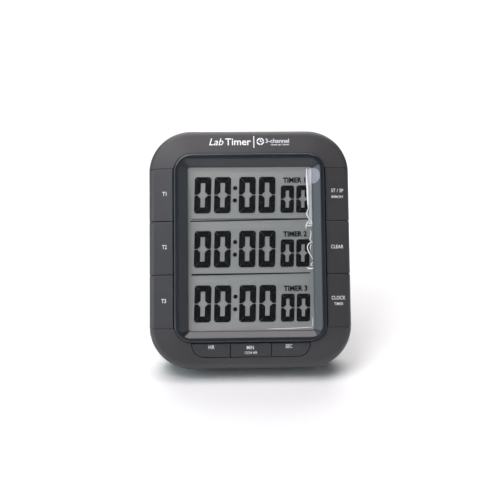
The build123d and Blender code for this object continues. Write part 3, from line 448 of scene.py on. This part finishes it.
# ---------------------------------------------------------------- the display's segments
lcd = face_box("lcd_polarizer")
window = face_box("display_window")
LCD_Z = lcd[2][1]
lcd_y = (lcd[1][0] + lcd[1][1]) / 2
SEG_Z = LCD_Z + 0.28 * MM  # the segments float a little over the polarizer
SEG_T = 0.03 * MM
ROW_PITCH = 28.56 * MM
ROW_TOP = 38.1 * MM  # above the display's middle
BIG_W, BIG_H, BIG_STROKE, BIG_ROUND = 8.75 * MM, 19.25 * MM, 3.2 * MM, 1.5 * MM
SMALL_W, SMALL_H, SMALL_STROKE, SMALL_ROUND = 7.05 * MM, 14.5 * MM, 2.65 * MM, 1.1 * MM
BIG_X = [-29.2 * MM, -18.8 * MM, -5.8 * MM, 4.6 * MM]
SMALL_X = [16.2 * MM, 24.4 * MM]
ROW_SHIFT = [0.1 * MM, -0.2 * MM, -0.3 * MM]  # the rows stand a little out of line
SMALL_SHIFT = 1.5  # the small digits are out of line this many times as far
COLON_X = -7.86 * MM
COLON_R = 1.13 * MM
COLON_SHARES = (0.35, 0.69)  # the dots' heights as shares of a large digit's
WORD_X, WORD_DROP, WORD_H = 24.1 * MM, 2.05 * MM, 2.6 * MM  # the small heading over each row's small digits
WORD_WEIGHT, WORD_SPACING, WORD_WIDE = 0.042, 1.02, 0.93
RULE_DROP = 3.5 * MM  # from the foot of a row's digits to the line under it
SLANT = math.tan(math.radians(1.8))
HAIR = 0.004 * MM  # half the gap between two segments
MIDDLE_GAP = 0.17 * MM
# Each divider and the painted shadow beside it: its ends and its thickness, in millimetres.
RULES_AND_SHADOWS = [
    (((-31.0, -0.62), (31.2, 0.16), 0.55), ((-30.0, 0.5), (31.2, 0.32), 0.32)),
    (((-30.6, -0.35), (31.4, 0.30), 0.55), ((-30.4, 0.1), (31.4, 0.36), 0.34)),
]


def arc(cx, cy, radius, start, end, steps=5):
    """Points on an arc, angles in degrees."""
    turn = [math.radians(start + (end - start) * i / steps) for i in range(steps + 1)]
    return [(cx + radius * math.cos(a), cy + radius * math.sin(a)) for a in turn]


def zero_segments(w, h, s, r):
    """The six lit segments of a 0, mitred where they meet; the middle ends are cut to a point."""
    half = h / 2
    k = r * (1 - math.sqrt(0.5))  # where the mitre line meets the rounded corner
    top = (
        [(s + HAIR, h - s), (w - s - HAIR, h - s), (w - k - HAIR, h - k)]
        + arc(w - r, h - r, r, 47, 90, 4)[1:]
        + arc(r, h - r, r, 90, 133, 4)
    )
    upper_right = (
        [(w - s, h - s - HAIR), (w - s, half + s * 0.5), (w - s * 0.5, half + MIDDLE_GAP)]
        + [(w - s * 0.1, half + MIDDLE_GAP), (w, half + MIDDLE_GAP + s * 0.1)]
        + arc(w - r, h - r, r, 0, 43, 4)
    )

    def flip_y(points):
        return [(x, h - y) for x, y in points]

    def flip_x(points):
        return [(w - x, y) for x, y in points]

    upper_left = flip_x(upper_right)
    return [top, upper_right, upper_left, flip_y(top), flip_y(upper_right), flip_y(upper_left)]


def placed(points, x, y):
    """Slants a glyph's outline and puts its lower left corner at x, y."""
    return [(x + px + py * SLANT, y + py) for px, py in points]


display = {"digits": [], "colons": [], "rules": []}
for row in range(3):
    top = lcd_y + ROW_TOP - row * ROW_PITCH
    foot = top - BIG_H
    shift = ROW_SHIFT[row]
    for x in BIG_X:
        for outline in zero_segments(BIG_W, BIG_H, BIG_STROKE, BIG_ROUND):
            display["digits"].append(placed(outline, x + shift, foot))
    for x in SMALL_X:
        for outline in zero_segments(SMALL_W, SMALL_H, SMALL_STROKE, SMALL_ROUND):
            display["digits"].append(placed(outline, x + shift * SMALL_SHIFT, foot))
    for share in COLON_SHARES:
        dot = arc(0, 0, COLON_R, 0, 345, 23)
        rise = BIG_H * share
        display["colons"].append(placed(dot, COLON_X + shift + rise * SLANT, foot + rise))
    if row < 2:
        y = foot - RULE_DROP
        # Each divider is drawn with a painted shadow beside it.
        for start, end, thickness in RULES_AND_SHADOWS[row]:
            (x0, y0), (x1, y1) = start, end
            display["rules"].append(
                [
                    (x0 * MM, y + (y0 - thickness / 2) * MM),
                    (x1 * MM, y + (y1 - thickness / 2) * MM),
                    (x1 * MM, y + (y1 + thickness / 2) * MM),
                    (x0 * MM, y + (y0 + thickness / 2) * MM),
                ]
            )
    lettering(
        "lcd_timer_word_%d" % (row + 1),
        "TIMER %d" % (row + 1),
        WORD_H,
        SEGMENT,
        "case",
        Matrix.Translation((WORD_X + shift, top - WORD_DROP, SEG_Z)),
        weight=WORD_WEIGHT,
        spacing=WORD_SPACING,
        depth=SEG_T,
        wide=WORD_WIDE,
    )
for name, outlines in display.items():
    plates("lcd_" + name, outlines, SEG_Z, SEG_T, SEGMENT, "case")


def ring(name, outer, inner, radius, z, thickness, material, body):
    """A flat rectangular ring with rounded corners; outer and inner are (x0, x1, y0, y1)."""
    loops = []
    for (x0, x1, y0, y1), r in ((outer, radius[0]), (inner, radius[1])):
        corners = [(x1 - r, y1 - r, 0), (x0 + r, y1 - r, 90), (x0 + r, y0 + r, 180), (x1 - r, y0 + r, 270)]
        loops.append([p for cx, cy, start in corners for p in arc(cx, cy, r, start, start + 90, 8)])
    form = bmesh.new()
    levels = [[[form.verts.new((x, y, h)) for x, y in loop] for h in (z, z + thickness)] for loop in loops]
    count = len(loops[0])
    (outer_low, outer_high), (inner_low, inner_high) = levels
    for i in range(count):
        j = (i + 1) % count
        form.faces.new((outer_high[i], outer_high[j], inner_high[j], inner_high[i]))
        form.faces.new((outer_low[j], outer_low[i], inner_low[i], inner_low[j]))
        form.faces.new((outer_low[i], outer_low[j], outer_high[j], outer_high[i]))
        form.faces.new((inner_low[j], inner_low[i], inner_high[i], inner_high[j]))
    bmesh.ops.recalc_face_normals(form, faces=form.faces)
    return piece(name, mesh_from(form, name), material, body)


WINDOW_MARGIN = 2.4 * MM  # the window reaches this far under the bezel
BORDER, BORDER_LIFT, BORDER_T = 0.45 * MM, 0.01 * MM, 0.02 * MM
OPEN_ROUND, BORDER_ROUND = 1.6 * MM, 1.2 * MM
open_x = (window[0][0] + WINDOW_MARGIN, window[0][1] - WINDOW_MARGIN)
open_y = (window[1][0] + WINDOW_MARGIN, window[1][1] - WINDOW_MARGIN)
# A thin grey ring on the window round the opening stands for the dark line where the display meets the bezel: part
# joint, part painted shade.
ring(
    "window_border",
    (*open_x, *open_y),
    (open_x[0] + BORDER, open_x[1] - BORDER, open_y[0] + BORDER, open_y[1] - BORDER),
    (OPEN_ROUND, BORDER_ROUND),
    window[2][1] + BORDER_LIFT,
    BORDER_T,
    EDGE,
    "case",
)

# ---------------------------------------------------------------- printed legends
housing = face_box("front_housing")
HALF_W, HALF_H = housing[0][1], housing[1][1]
RING_TOP = 24.6 * MM  # the case's ring at its inner side
RING_DROP, RING_RUN = 2.0 * MM, 14.5 * MM  # how far it falls, and over what width
PRINT_T = 0.03 * MM


def ring_point(x, y, direction):
    """A turn that lays lettering on the sloped ring at x, y; direction is left, right, top or bottom."""
    tilt = math.atan2(RING_DROP, RING_RUN)
    if direction in ("left", "right"):
        reach = abs(x) - (HALF_W - RING_RUN)
        spin = Matrix.Rotation(tilt if direction == "right" else -tilt, 4, "Y")
    else:
        reach = abs(y) - (HALF_H - RING_RUN)
        spin = Matrix.Rotation(-tilt if direction == "top" else tilt, 4, "X")
    z = RING_TOP - RING_DROP * reach / RING_RUN + PRINT_T / 2
    return Matrix.Translation((x, y, z)) @ spin


# Each key's lines: the words, the capital height, the shift right and up from the key's middle, the letter spacing.
LEGENDS = [
    ("key_timer_1", "left", [("T1", 2.1, 1.6, 0.5, 0.95)]),
    ("key_timer_2", "left", [("T2", 2.1, 1.3, 0.5, 0.95)]),
    ("key_timer_3", "left", [("T3", 2.1, 0.9, 0.4, 0.95)]),
    ("key_start_stop", "right", [("ST / SP", 1.85, 0.4, 1.7, 1.05), ("MEMORY", 1.3, 0.4, -1.6, 1.05)]),
    ("key_clear", "right", [("CLEAR", 1.85, -0.2, 0.0, 1.05)]),
    ("key_clock", "right", [("CLOCK", 1.85, 0.0, 1.2, 1.03), ("TIMER", 1.45, 0.1, -1.9, 1.05)]),
    ("key_hour", "bottom", [("HR", 2.0, 0.65, 1.6, 1.05)]),
    ("key_minute", "bottom", [("MIN", 1.85, -0.4, 1.2, 1.0), ("12/24 HR", 1.35, -0.2, -1.4, 1.1)]),
    ("key_second", "bottom", [("SEC", 1.85, -1.6, 1.7, 1.0)]),
]
LEGEND_WIDE, LEGEND_WEIGHT = 0.82, 0.008
for node, side, lines in LEGENDS:
    key = face_box(node)
    x = (key[0][0] + key[0][1]) / 2
    y = (key[1][0] + key[1][1]) / 2
    for index, (text, height, right, up, spacing) in enumerate(lines):
        lettering(
            "legend_%s_%d" % (node.replace("key_", ""), index + 1),
            text,
            height * MM,
            PRINT,
            node.replace("key_", "button_"),
            ring_point(x + right * MM, y + up * MM, side),
            weight=LEGEND_WEIGHT,
            spacing=spacing,
            depth=PRINT_T,
            wide=LEGEND_WIDE,
        )

# The heading: a slanted word, a bold word, a rule, a clock emblem and two small lines. Each has its name, its text,
# the capital height, where it starts and its shift up in millimetres, its weight and its slant.
HEADING_Y = 55.85 * MM
HEADING = [
    ("lab", "Lab", 3.8, -21.2, 0.0, 0.006, 0.28),
    ("timer", "Timer", 3.8, -12.4, 0.0, 0.015, 0.0),
    ("bar", "|", 5.0, 1.75, 0.6, 0.0, 0.0),
    ("channels", "3-channel", 2.3, 8.6, 0.5, 0.008, 0.0),
    ("count", "count up / down", 1.0, 11.6, -1.45, 0.012, 0.0),
]
for name, text, height, left, up, weight, lean in HEADING:
    lettering(
        "heading_" + name,
        text,
        height * MM,
        PRINT,
        "case",
        ring_point(left * MM, HEADING_Y + up * MM, "top"),
        weight=weight,
        depth=PRINT_T,
        lean=lean,
        align="LEFT",
    )
EMBLEM_X, EMBLEM_UP, EMBLEM_R = 6.1 * MM, 0.3 * MM, 2.0 * MM
QUARTER_START, QUARTER_TURN = 6, 78  # degrees, which leaves gaps between the ring's quarters
RING_INSIDE, LONG_HAND, SHORT_HAND = 0.64, 0.62, 0.55  # shares of the emblem's radius
HAND = 0.2 * MM  # half a hand's width


def emblem_outlines():
    """A clock face: a ring in four quarters and two hands."""
    quarters = []
    for k in range(4):
        start = k * 90 + QUARTER_START
        outer = arc(0, 0, EMBLEM_R, start, start + QUARTER_TURN, 12)
        inner = arc(0, 0, EMBLEM_R * RING_INSIDE, start + QUARTER_TURN, start, 12)
        quarters.append(outer + inner)
    high, wide = EMBLEM_R * LONG_HAND, EMBLEM_R * SHORT_HAND
    upright = [(-HAND, -HAND), (HAND, -HAND), (HAND, high), (-HAND, high)]
    level = [(HAND, -HAND), (wide, -HAND), (wide, HAND), (HAND, HAND)]
    return quarters + [upright, level]


emblem = plates("heading_clock", emblem_outlines(), -PRINT_T / 2, PRINT_T, PRINT, "case")
emblem.data.transform(FACE @ ring_point(EMBLEM_X, HEADING_Y + EMBLEM_UP, "top") @ FACE.inverted())

# ---------------------------------------------------------------- the film on the window
FILM_Z = window[2][1] + 0.05 * MM


def surface(name, rows, material, body="case"):
    """A thin smooth sheet through a grid of points."""
    form = bmesh.new()
    grid = [[form.verts.new(point) for point in line] for line in rows]
    for upper, lower in zip(grid, grid[1:]):
        for i in range(len(upper) - 1):
            form.faces.new((upper[i], lower[i], lower[i + 1], upper[i + 1]))
    data = mesh_from(form, name)
    for polygon in data.polygons:
        polygon.use_smooth = True
    return piece(name, data, material, body)


def smooth_line(points, steps):
    """Catmull-Rom curve through the points."""
    made = []
    for i in range(len(points) - 1):
        p0, p1 = points[max(i - 1, 0)], points[i]
        p2, p3 = points[i + 1], points[min(i + 2, len(points) - 1)]
        for k in range(steps):
            t = k / steps
            made.append(
                tuple(
                    0.5 * (2 * b + (c - a) * t + (2 * a - 5 * b + 4 * c - d) * t * t + (3 * b - a - 3 * c + d) * t**3)
                    for a, b, c, d in zip(p0, p1, p2, p3)
                )
            )
    made.append(points[-1])
    return made


# The film lies flat from the left and lifts towards its loose right edge.
COLUMNS, ROWS = 24, 44
LIFT_MEAN, LIFT_WAVE, LIFT_TURN = 0.25, 0.15, 1.3  # millimetres, millimetres and radians per millimetre
FILM_SIDE, FILM_FOOT = 0.9 * MM, 1.1 * MM  # bare window beside and above the film, and below it
FLAT_SHARE, LOOSE_SHARE = 0.9, 0.1  # of the film's width
film_left, film_right = open_x[0] + FILM_SIDE, 31.0 * MM
film_low, film_high = open_y[0] + FILM_FOOT, open_y[1] - FILM_SIDE
rows = []
for j in range(ROWS + 1):
    y = film_high + (film_low - film_high) * j / ROWS
    line = []
    for i in range(COLUMNS + 1):
        t = i / COLUMNS
        near = max(0.0, (t - FLAT_SHARE) / LOOSE_SHARE)
        lift = near * near * (LIFT_MEAN + LIFT_WAVE * math.sin(y / MM * LIFT_TURN)) * MM
        line.append((film_left + (film_right - film_left) * t, y, FILM_Z + lift))
    rows.append(line)
film = surface("film_sheet", rows, FILM)
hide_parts("protective_film")

# The creases along the loose edge, and the last two lines along the film's lower and right edges, all drawn white as
# painted highlights: where each one runs and how wide it is, in millimetres.
CREASES = [
    (1.00, [(30.3, 41.5), (30.35, 36.0), (30.6, 30.0), (30.7, 24.5), (30.9, 20.8)]),
    (0.61, [(31.0, 21.6), (30.6, 19.6), (30.0, 18.0), (30.5, 16.3), (31.4, 14.6)]),
    (0.49, [(31.4, 14.6), (30.2, 13.0), (29.4, 11.4), (29.6, 10.0)]),
    (0.49, [(29.5, 11.3), (31.0, 11.5), (32.4, 11.2)]),
    (0.43, [(31.3, 14.6), (32.6, 13.6), (32.5, 11.4)]),
    (0.35, [(30.4, 13.3), (31.4, 12.5), (32.3, 12.9)]),
    (0.49, [(31.8, 9.2), (32.1, 7.4), (31.9, 5.9), (31.5, 4.3), (32.4, 3.0)]),
    (0.55, [(32.7, 2.8), (31.2, 2.3), (30.2, 0.9), (30.2, -0.9), (31.0, -2.9), (32.0, -4.6), (32.9, -6.3)]),
    (0.38, [(32.2, 1.6), (31.5, 0.4), (31.7, -1.2)]),
    (0.43, [(32.9, -7.6), (31.7, -8.9), (32.6, -9.5)]),
    (0.67, [(29.4, -10.3), (30.6, -10.9), (31.8, -11.0), (32.9, -10.8)]),
    (0.34, [(9.0, -42.0), (16.0, -42.0), (24.0, -41.8), (31.8, -41.4)]),
    (0.24, [(32.1, -41.2), (32.15, -36.4)]),
]
SHARP_CREASES = 11  # these come first and stand higher than the two soft ones after them
SHARP_RISE, SOFT_RISE, CREASE_LIFT = 0.16, 0.08, 0.08  # millimetres
CREASE_SECTION = ((-1, 0.0), (-0.5, 0.8), (0, 1.0), (0.5, 0.8), (1, 0.0))  # shares of half the width, and of the rise
END_TAPER = 0.06  # the crease keeps some width at its ends


def crease(width, points, rise):
    """Rows of points across a low fold of film that follows the points."""
    line = smooth_line(points, 6)
    made = []
    for k, (x, y) in enumerate(line):
        x0, y0 = line[max(k - 1, 0)]
        x1, y1 = line[min(k + 1, len(line) - 1)]
        length = math.hypot(x1 - x0, y1 - y0)
        across = ((y1 - y0) / length, -(x1 - x0) / length)
        taper = math.sin(math.pi * min(max(k / (len(line) - 1), END_TAPER), 1 - END_TAPER)) ** 0.4
        half = width / 2 * taper
        made.append(
            [
                (
                    (x + across[0] * half * f) * MM,
                    (y + across[1] * half * f) * MM,
                    FILM_Z + (CREASE_LIFT + rise * h) * MM,
                )
                for f, h in CREASE_SECTION
            ]
        )
    return made


# Each crease is drawn white: a painted highlight on the fold.
for number, (width, points) in enumerate(CREASES):
    rise = SHARP_RISE if number < SHARP_CREASES else SOFT_RISE
    surface("film_crease_%d" % (number + 1), crease(width, points, rise), FILM_HIGHLIGHT)

# The strip beyond the main crease, which curls up against the bezel's slope; its whitish colour is a painted
# reflection.
CURL_STEPS, CURL_TOP, CURL_LENGTH, CURL_LEFT = 40, 41.6, 29.6, 31.1  # the lengths are in millimetres
CURL_STEP, CURL_RISE, CURL_LIFT = 0.5, 0.16, 0.1  # sideways and up from one line to the next, and over the film
curl = []
for k in range(CURL_STEPS + 1):
    y = (CURL_TOP - CURL_LENGTH * k / CURL_STEPS) * MM
    wave = 0.35 * math.sin(k * 1.7) + 0.25 * math.sin(k * 0.63)  # two waves out of step look irregular
    line = []
    for i in range(4):
        x = (CURL_LEFT + CURL_STEP * i + wave * 0.1 * i / 3) * MM
        line.append((x, y, FILM_Z + (CURL_LIFT + CURL_RISE * i) * MM))
    curl.append(line)
surface("film_curl", curl, FILM_CURL)

# The pull tab lies up the slope, with a round end.
SLOPE_FOOT = (open_x[1], 23.2 * MM)  # the bezel's right-hand slope: its x and z at the foot and at the top
SLOPE_TOP = (37.1 * MM, 25.5 * MM)
TAB_LEFT, TAB_RIGHT, TAB_MIDDLE, TAB_HALF = 31.2, 36.9, 37.7, 4.1  # millimetres
TAB_ROUND, TAB_STEPS = 3.6, 16
TAB_LOWEST, TAB_CLEAR = 0.4 * MM, 0.25 * MM  # above the film, and above the slope
tab = []
for k in range(TAB_STEPS + 1):
    x = TAB_LEFT + (TAB_RIGHT - TAB_LEFT) * math.sin(math.pi / 2 * k / TAB_STEPS)
    into = max(0.0, (x - (TAB_RIGHT - TAB_ROUND)) / TAB_ROUND)
    half = TAB_HALF - TAB_ROUND * (1 - math.sqrt(max(0.0, 1 - into * into)))
    share = (x * MM - SLOPE_FOOT[0]) / (SLOPE_TOP[0] - SLOPE_FOOT[0])
    z = max(FILM_Z + TAB_LOWEST, SLOPE_FOOT[1] + (SLOPE_TOP[1] - SLOPE_FOOT[1]) * share + TAB_CLEAR)
    tab.append([(x * MM, (TAB_MIDDLE + half * f) * MM, z) for f in (1, 0.5, 0, -0.5, -1)])
surface("film_tab", tab, TAB)

# ---------------------------------------------------------------- the back
LABEL = rough_plastic("rating_label", (0.50, 0.50, 0.51), gloss=(0.3, 0.4), **PRINTED)
LABEL_INK = rough_plastic("label_ink", (0.02, 0.02, 0.02), gloss=(0.5, 0.6), edge=0.0)
LABEL_W, LABEL_H, LABEL_R, LABEL_Y = 38.0 * MM, 21.0 * MM, 1.5 * MM, 10.0 * MM
LABEL_T, INK_T, RAISED = 0.08 * MM, 0.02 * MM, 0.15 * MM
LINE_IN, LINE_SHORT, LINE_W, LINE_R = 1.2 * MM, 3.4 * MM, 0.2 * MM, 0.08 * MM  # the label's printed frame


def rounded_outline(cx, cy, w, h, r):
    """A rectangle with rounded corners."""
    right, top = w / 2 - r, h / 2 - r
    corners = [(right, top, 0), (-right, top, 90), (-right, -top, 180), (right, -top, 270)]
    return [p for x, y, start in corners for p in arc(cx + x, cy + y, r, start, start + 90, 6)]


def behind(x, y, z):
    """A turn that lays lettering on the rear face, to be read from behind."""
    return Matrix.Translation((x, y, z)) @ Matrix.Rotation(math.pi, 4, "Y")


label_outline = rounded_outline(0, LABEL_Y, LABEL_W, LABEL_H, LABEL_R)
plates("rating_label", [label_outline], -LABEL_T, LABEL_T, LABEL, "case")
label_frame = []
for side in (-1, 1):
    up, out = side * (LABEL_H / 2 - LINE_IN), side * (LABEL_W / 2 - LINE_IN)
    label_frame.append(rounded_outline(0, LABEL_Y + up, LABEL_W - LINE_SHORT, LINE_W, LINE_R))
    label_frame.append(rounded_outline(out, LABEL_Y, LINE_W, LABEL_H - LINE_SHORT, LINE_R))
plates("rating_label_frame", label_frame, -LABEL_T - INK_T, INK_T, LABEL_INK, "case")
# The label's lines: the words, the capital height and the shift up from the label's middle, in millimetres.
LABEL_LINES = [
    ("THREE-CHANNEL TIMER", 1.9, 5.6),
    ("COUNT-UP   COUNT-DOWN   CLOCK", 1.2, 1.9),
    ("HOURS   MINUTES   SECONDS", 1.2, -1.1),
    ("2 x AAA 1.5 V   3 V DC", 1.2, -4.1),
]
for number, (text, height, up) in enumerate(LABEL_LINES):
    lettering(
        "rating_label_line_%d" % (number + 1),
        text,
        height * MM,
        LABEL_INK,
        "case",
        behind(0, LABEL_Y + up * MM, -LABEL_T - INK_T / 2),
        weight=0.006,
        depth=INK_T,
    )

door_box = face_box("battery_door")
door_y = (door_box[1][0] + door_box[1][1]) / 2
# The door's raised words: the piece, the word, the capital height and the shift up from the door's middle.
for name, text, height, up in (("door_marking", "2 x AAA", 2.6, -5.4), ("door_open_word", "OPEN", 2.0, 3.6)):
    lettering(
        name,
        text,
        height * MM,
        CASE,
        "door",
        behind(0, door_y + up * MM, -RAISED / 2),
        weight=0.004,
        spacing=1.1,
        depth=RAISED,
    )
ARROW_W, ARROW_H, ARROW_UP = 2.2 * MM, 2.6 * MM, 0.9 * MM
arrow_y = door_y + ARROW_UP
arrow = [(-ARROW_W, arrow_y), (ARROW_W, arrow_y), (0, arrow_y - ARROW_H)]
RIBS, RIB_START, RIB_PITCH = 5, 15.0, 1.5  # on each side of the door, from its middle line outwards
RIB_W, RIB_H, RIB_R = 0.5 * MM, 15.0 * MM, 0.2 * MM
ribs = []
for side in (-1, 1):
    for k in range(RIBS):
        ribs.append(rounded_outline(side * (RIB_START + k * RIB_PITCH) * MM, door_y, RIB_W, RIB_H, RIB_R))
plates("door_grip_ribs", ribs, -RAISED, RAISED, CASE, "door")
plates("door_arrow", [arrow], -RAISED, RAISED, CASE, "door")

# ---------------------------------------------------------------- the keypads: a mat and a separate dome for each key
KEYPADS = {
    "keypad_left": ("timer_1", "timer_2", "timer_3"),
    "keypad_right": ("start_stop", "clear", "clock"),
    "keypad_bottom": ("hour", "minute", "second"),
}
MAT_T, CUT_ABOVE = 0.8 * MM, 0.05 * MM  # the cut is made just above the mat's upper side
DOME_REACH = 3.95 * MM  # everything of a dome is nearer than this to its middle
MAT_SHRINK = 0.975  # across the keypad, which keeps the mat's edges clear of the keys' skirts


def cut_keypad(name, source, level, places, upper):
    """The part of a CAD keypad above or below a level, its cut closed at each dome."""
    form = bmesh.new()
    form.from_mesh(bpy.data.objects[source].data)
    form.transform(FACE.inverted())
    bmesh.ops.remove_doubles(form, verts=form.verts, dist=0.001 * MM)
    everything = form.verts[:] + form.edges[:] + form.faces[:]
    bmesh.ops.bisect_plane(
        form,
        geom=everything,
        dist=1e-7,
        plane_co=(0, 0, level),
        plane_no=(0, 0, 1),
        clear_inner=upper,
        clear_outer=not upper,
    )

    def near(vert, place):
        return math.hypot(vert.co.x - place[0], vert.co.y - place[1]) < DOME_REACH

    outside = [v for v in form.verts if not any(near(v, place) for place in places)]
    if upper:
        bmesh.ops.delete(form, geom=outside, context="VERTS")
    else:  # the mat's edge stands a little clear of the keys' skirts
        middle_x = sum(x for x, y in places) / len(places)
        for v in outside:
            v.co.x = middle_x + (v.co.x - middle_x) * MAT_SHRINK
    for place in places:
        rim = [e for e in form.edges if e.is_boundary and all(near(v, place) for v in e.verts)]
        bmesh.ops.bridge_loops(form, edges=rim)
    bmesh.ops.recalc_face_normals(form, faces=form.faces)
    return mesh_from(form, name)


for source, keys in KEYPADS.items():
    mat_low, mat_high = face_box(source)[2]
    level = mat_low + MAT_T + CUT_ABOVE
    places = []
    for key in keys:
        pill = face_box("contact_pill_" + key)
        places.append(((pill[0][0] + pill[0][1]) / 2, (pill[1][0] + pill[1][1]) / 2))
    name = source + "_mat"
    mat = piece(name, cut_keypad(name, source, level, places, False), SILICONE, "case")
    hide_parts(source)
    for key, place in zip(keys, places):
        name = "keypad_dome_" + key
        dome = piece(name, cut_keypad(name, source, level, [place], True), SILICONE, "case")
        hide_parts(source)
        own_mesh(dome)

# ---------------------------------------------------------------- floor, light and camera
floor_data = bpy.data.meshes.new("floor")
FLOOR = 6.0
floor_data.from_pydata(
    [(-FLOOR, -FLOOR, 0), (FLOOR, -FLOOR, 0), (FLOOR, FLOOR, 0), (-FLOOR, FLOOR, 0)], [], [(0, 1, 2, 3)]
)
floor = bpy.data.objects.new("floor", floor_data)
bpy.context.scene.collection.objects.link(floor)
floor_look, _, _, floor_shader = tree("floor")
floor_shader.inputs["Base Color"].default_value = (0.93, 0.93, 0.93, 1)
floor_shader.inputs["Roughness"].default_value = 0.7
floor_shader.inputs["Specular IOR Level"].default_value = 0.2
floor_data.materials.append(floor_look)

AIM_DEPTH = 0.018  # over the rear face
middle = at(0, 0, AIM_DEPTH)


def softbox(name, place, size, watts, tint=(1, 1, 1), target=None):
    """A rectangular light aimed at the middle of the case or at another point."""
    light = bpy.data.lights.new(name, "AREA")
    light.shape = "RECTANGLE"
    light.size, light.size_y = size
    light.energy = watts
    light.color = tint
    made = bpy.data.objects.new(name, light)
    made.location = place
    aimed = Vector(target) if target else middle
    made.rotation_euler = (aimed - Vector(place)).to_track_quat("-Z", "Y").to_euler()
    bpy.context.scene.collection.objects.link(made)
    return made


# Each light's name, place, size, power and tint, and where it aims if not at the case.
softbox("key", (-0.16, -0.14, 0.48), (0.26, 0.26), 1.15, (1.0, 0.97, 0.98))
softbox("overhead", (0.0, 0.16, 0.95), (0.80, 0.32), 3.6, (1.0, 0.93, 0.965))
softbox("left_side", (-0.80, -0.37, 0.37), (0.45, 0.8), 3.5, (0.80, 0.93, 1.0))
softbox("right_side", (0.80, -0.45, 0.50), (0.6, 0.6), 0.7)
softbox("front", (0.10, -1.1, 0.55), (0.8, 0.6), 0.2)
softbox("far_floor", (0.0, 1.3, 1.1), (2.0, 1.0), 28.0, (1, 1, 1), (0.0, 0.8, 0.0))
softbox("upper_left", (-0.58, -0.03, 0.90), (0.26, 0.26), 0.45, (0.92, 0.96, 1.0))
softbox("near_floor", (0.0, -1.3, 1.6), (2.4, 1.0), 10.0, (1, 1, 1), (0.0, -3.2, 0.0))
world = bpy.data.worlds.new("studio")
world.use_nodes = True
sky = world.node_tree
sky_place = sky.nodes.new("ShaderNodeTexCoord")
sky_split = sky.nodes.new("ShaderNodeSeparateXYZ")
sky.links.new(sky_place.outputs["Generated"], sky_split.inputs["Vector"])
SKY_LOW, SKY_HIGH = 0.16, 1.1  # strength at the horizon and overhead
HAZE_LOW, HAZE_HIGH, HAZE = 0.07, 0.13, 12.0  # added up to the first height, and gone at the second
sky_tone = span(sky.nodes, sky.links, sky_split.outputs["Z"], SKY_LOW, SKY_HIGH)
haze = sky.nodes.new("ShaderNodeMapRange")
haze.inputs["From Min"].default_value = HAZE_LOW
haze.inputs["From Max"].default_value = HAZE_HIGH
haze.inputs["To Min"].default_value = HAZE
haze.inputs["To Max"].default_value = 0.0
sky.links.new(sky_split.outputs["Z"], haze.inputs["Value"])
sky_sum = sky.nodes.new("ShaderNodeMath")
sky.links.new(sky_tone.outputs["Result"], sky_sum.inputs[0])
sky.links.new(haze.outputs["Result"], sky_sum.inputs[1])
sky.links.new(sky_sum.outputs["Value"], sky.nodes["Background"].inputs["Strength"])
bpy.context.scene.world = world
bpy.context.scene.view_settings.view_transform = "Standard"

AZIMUTH, ELEVATION, ROLL = math.radians(-1.65), math.radians(25.35), math.radians(0.18)
DISTANCE, LENS, SENSOR = 0.45, 61.47, 36.0
AIM_SHIFT = Vector((0.00018, 0, -0.00070))  # centres the timer in the picture as it is in the photo
back = Vector(
    (math.sin(AZIMUTH) * math.cos(ELEVATION), -math.cos(AZIMUTH) * math.cos(ELEVATION), math.sin(ELEVATION))
)
aim = middle + AIM_SHIFT
camera_data = bpy.data.cameras.new("camera")
camera_data.sensor_width = SENSOR
camera_data.lens = LENS
camera = bpy.data.objects.new("camera", camera_data)
camera.location = aim + back * DISTANCE
camera.rotation_mode = "QUATERNION"
camera.rotation_quaternion = (-back).to_track_quat("-Z", "Y") @ Matrix.Rotation(ROLL, 3, "Z").to_quaternion()
bpy.context.scene.collection.objects.link(camera)
bpy.context.scene.camera = camera
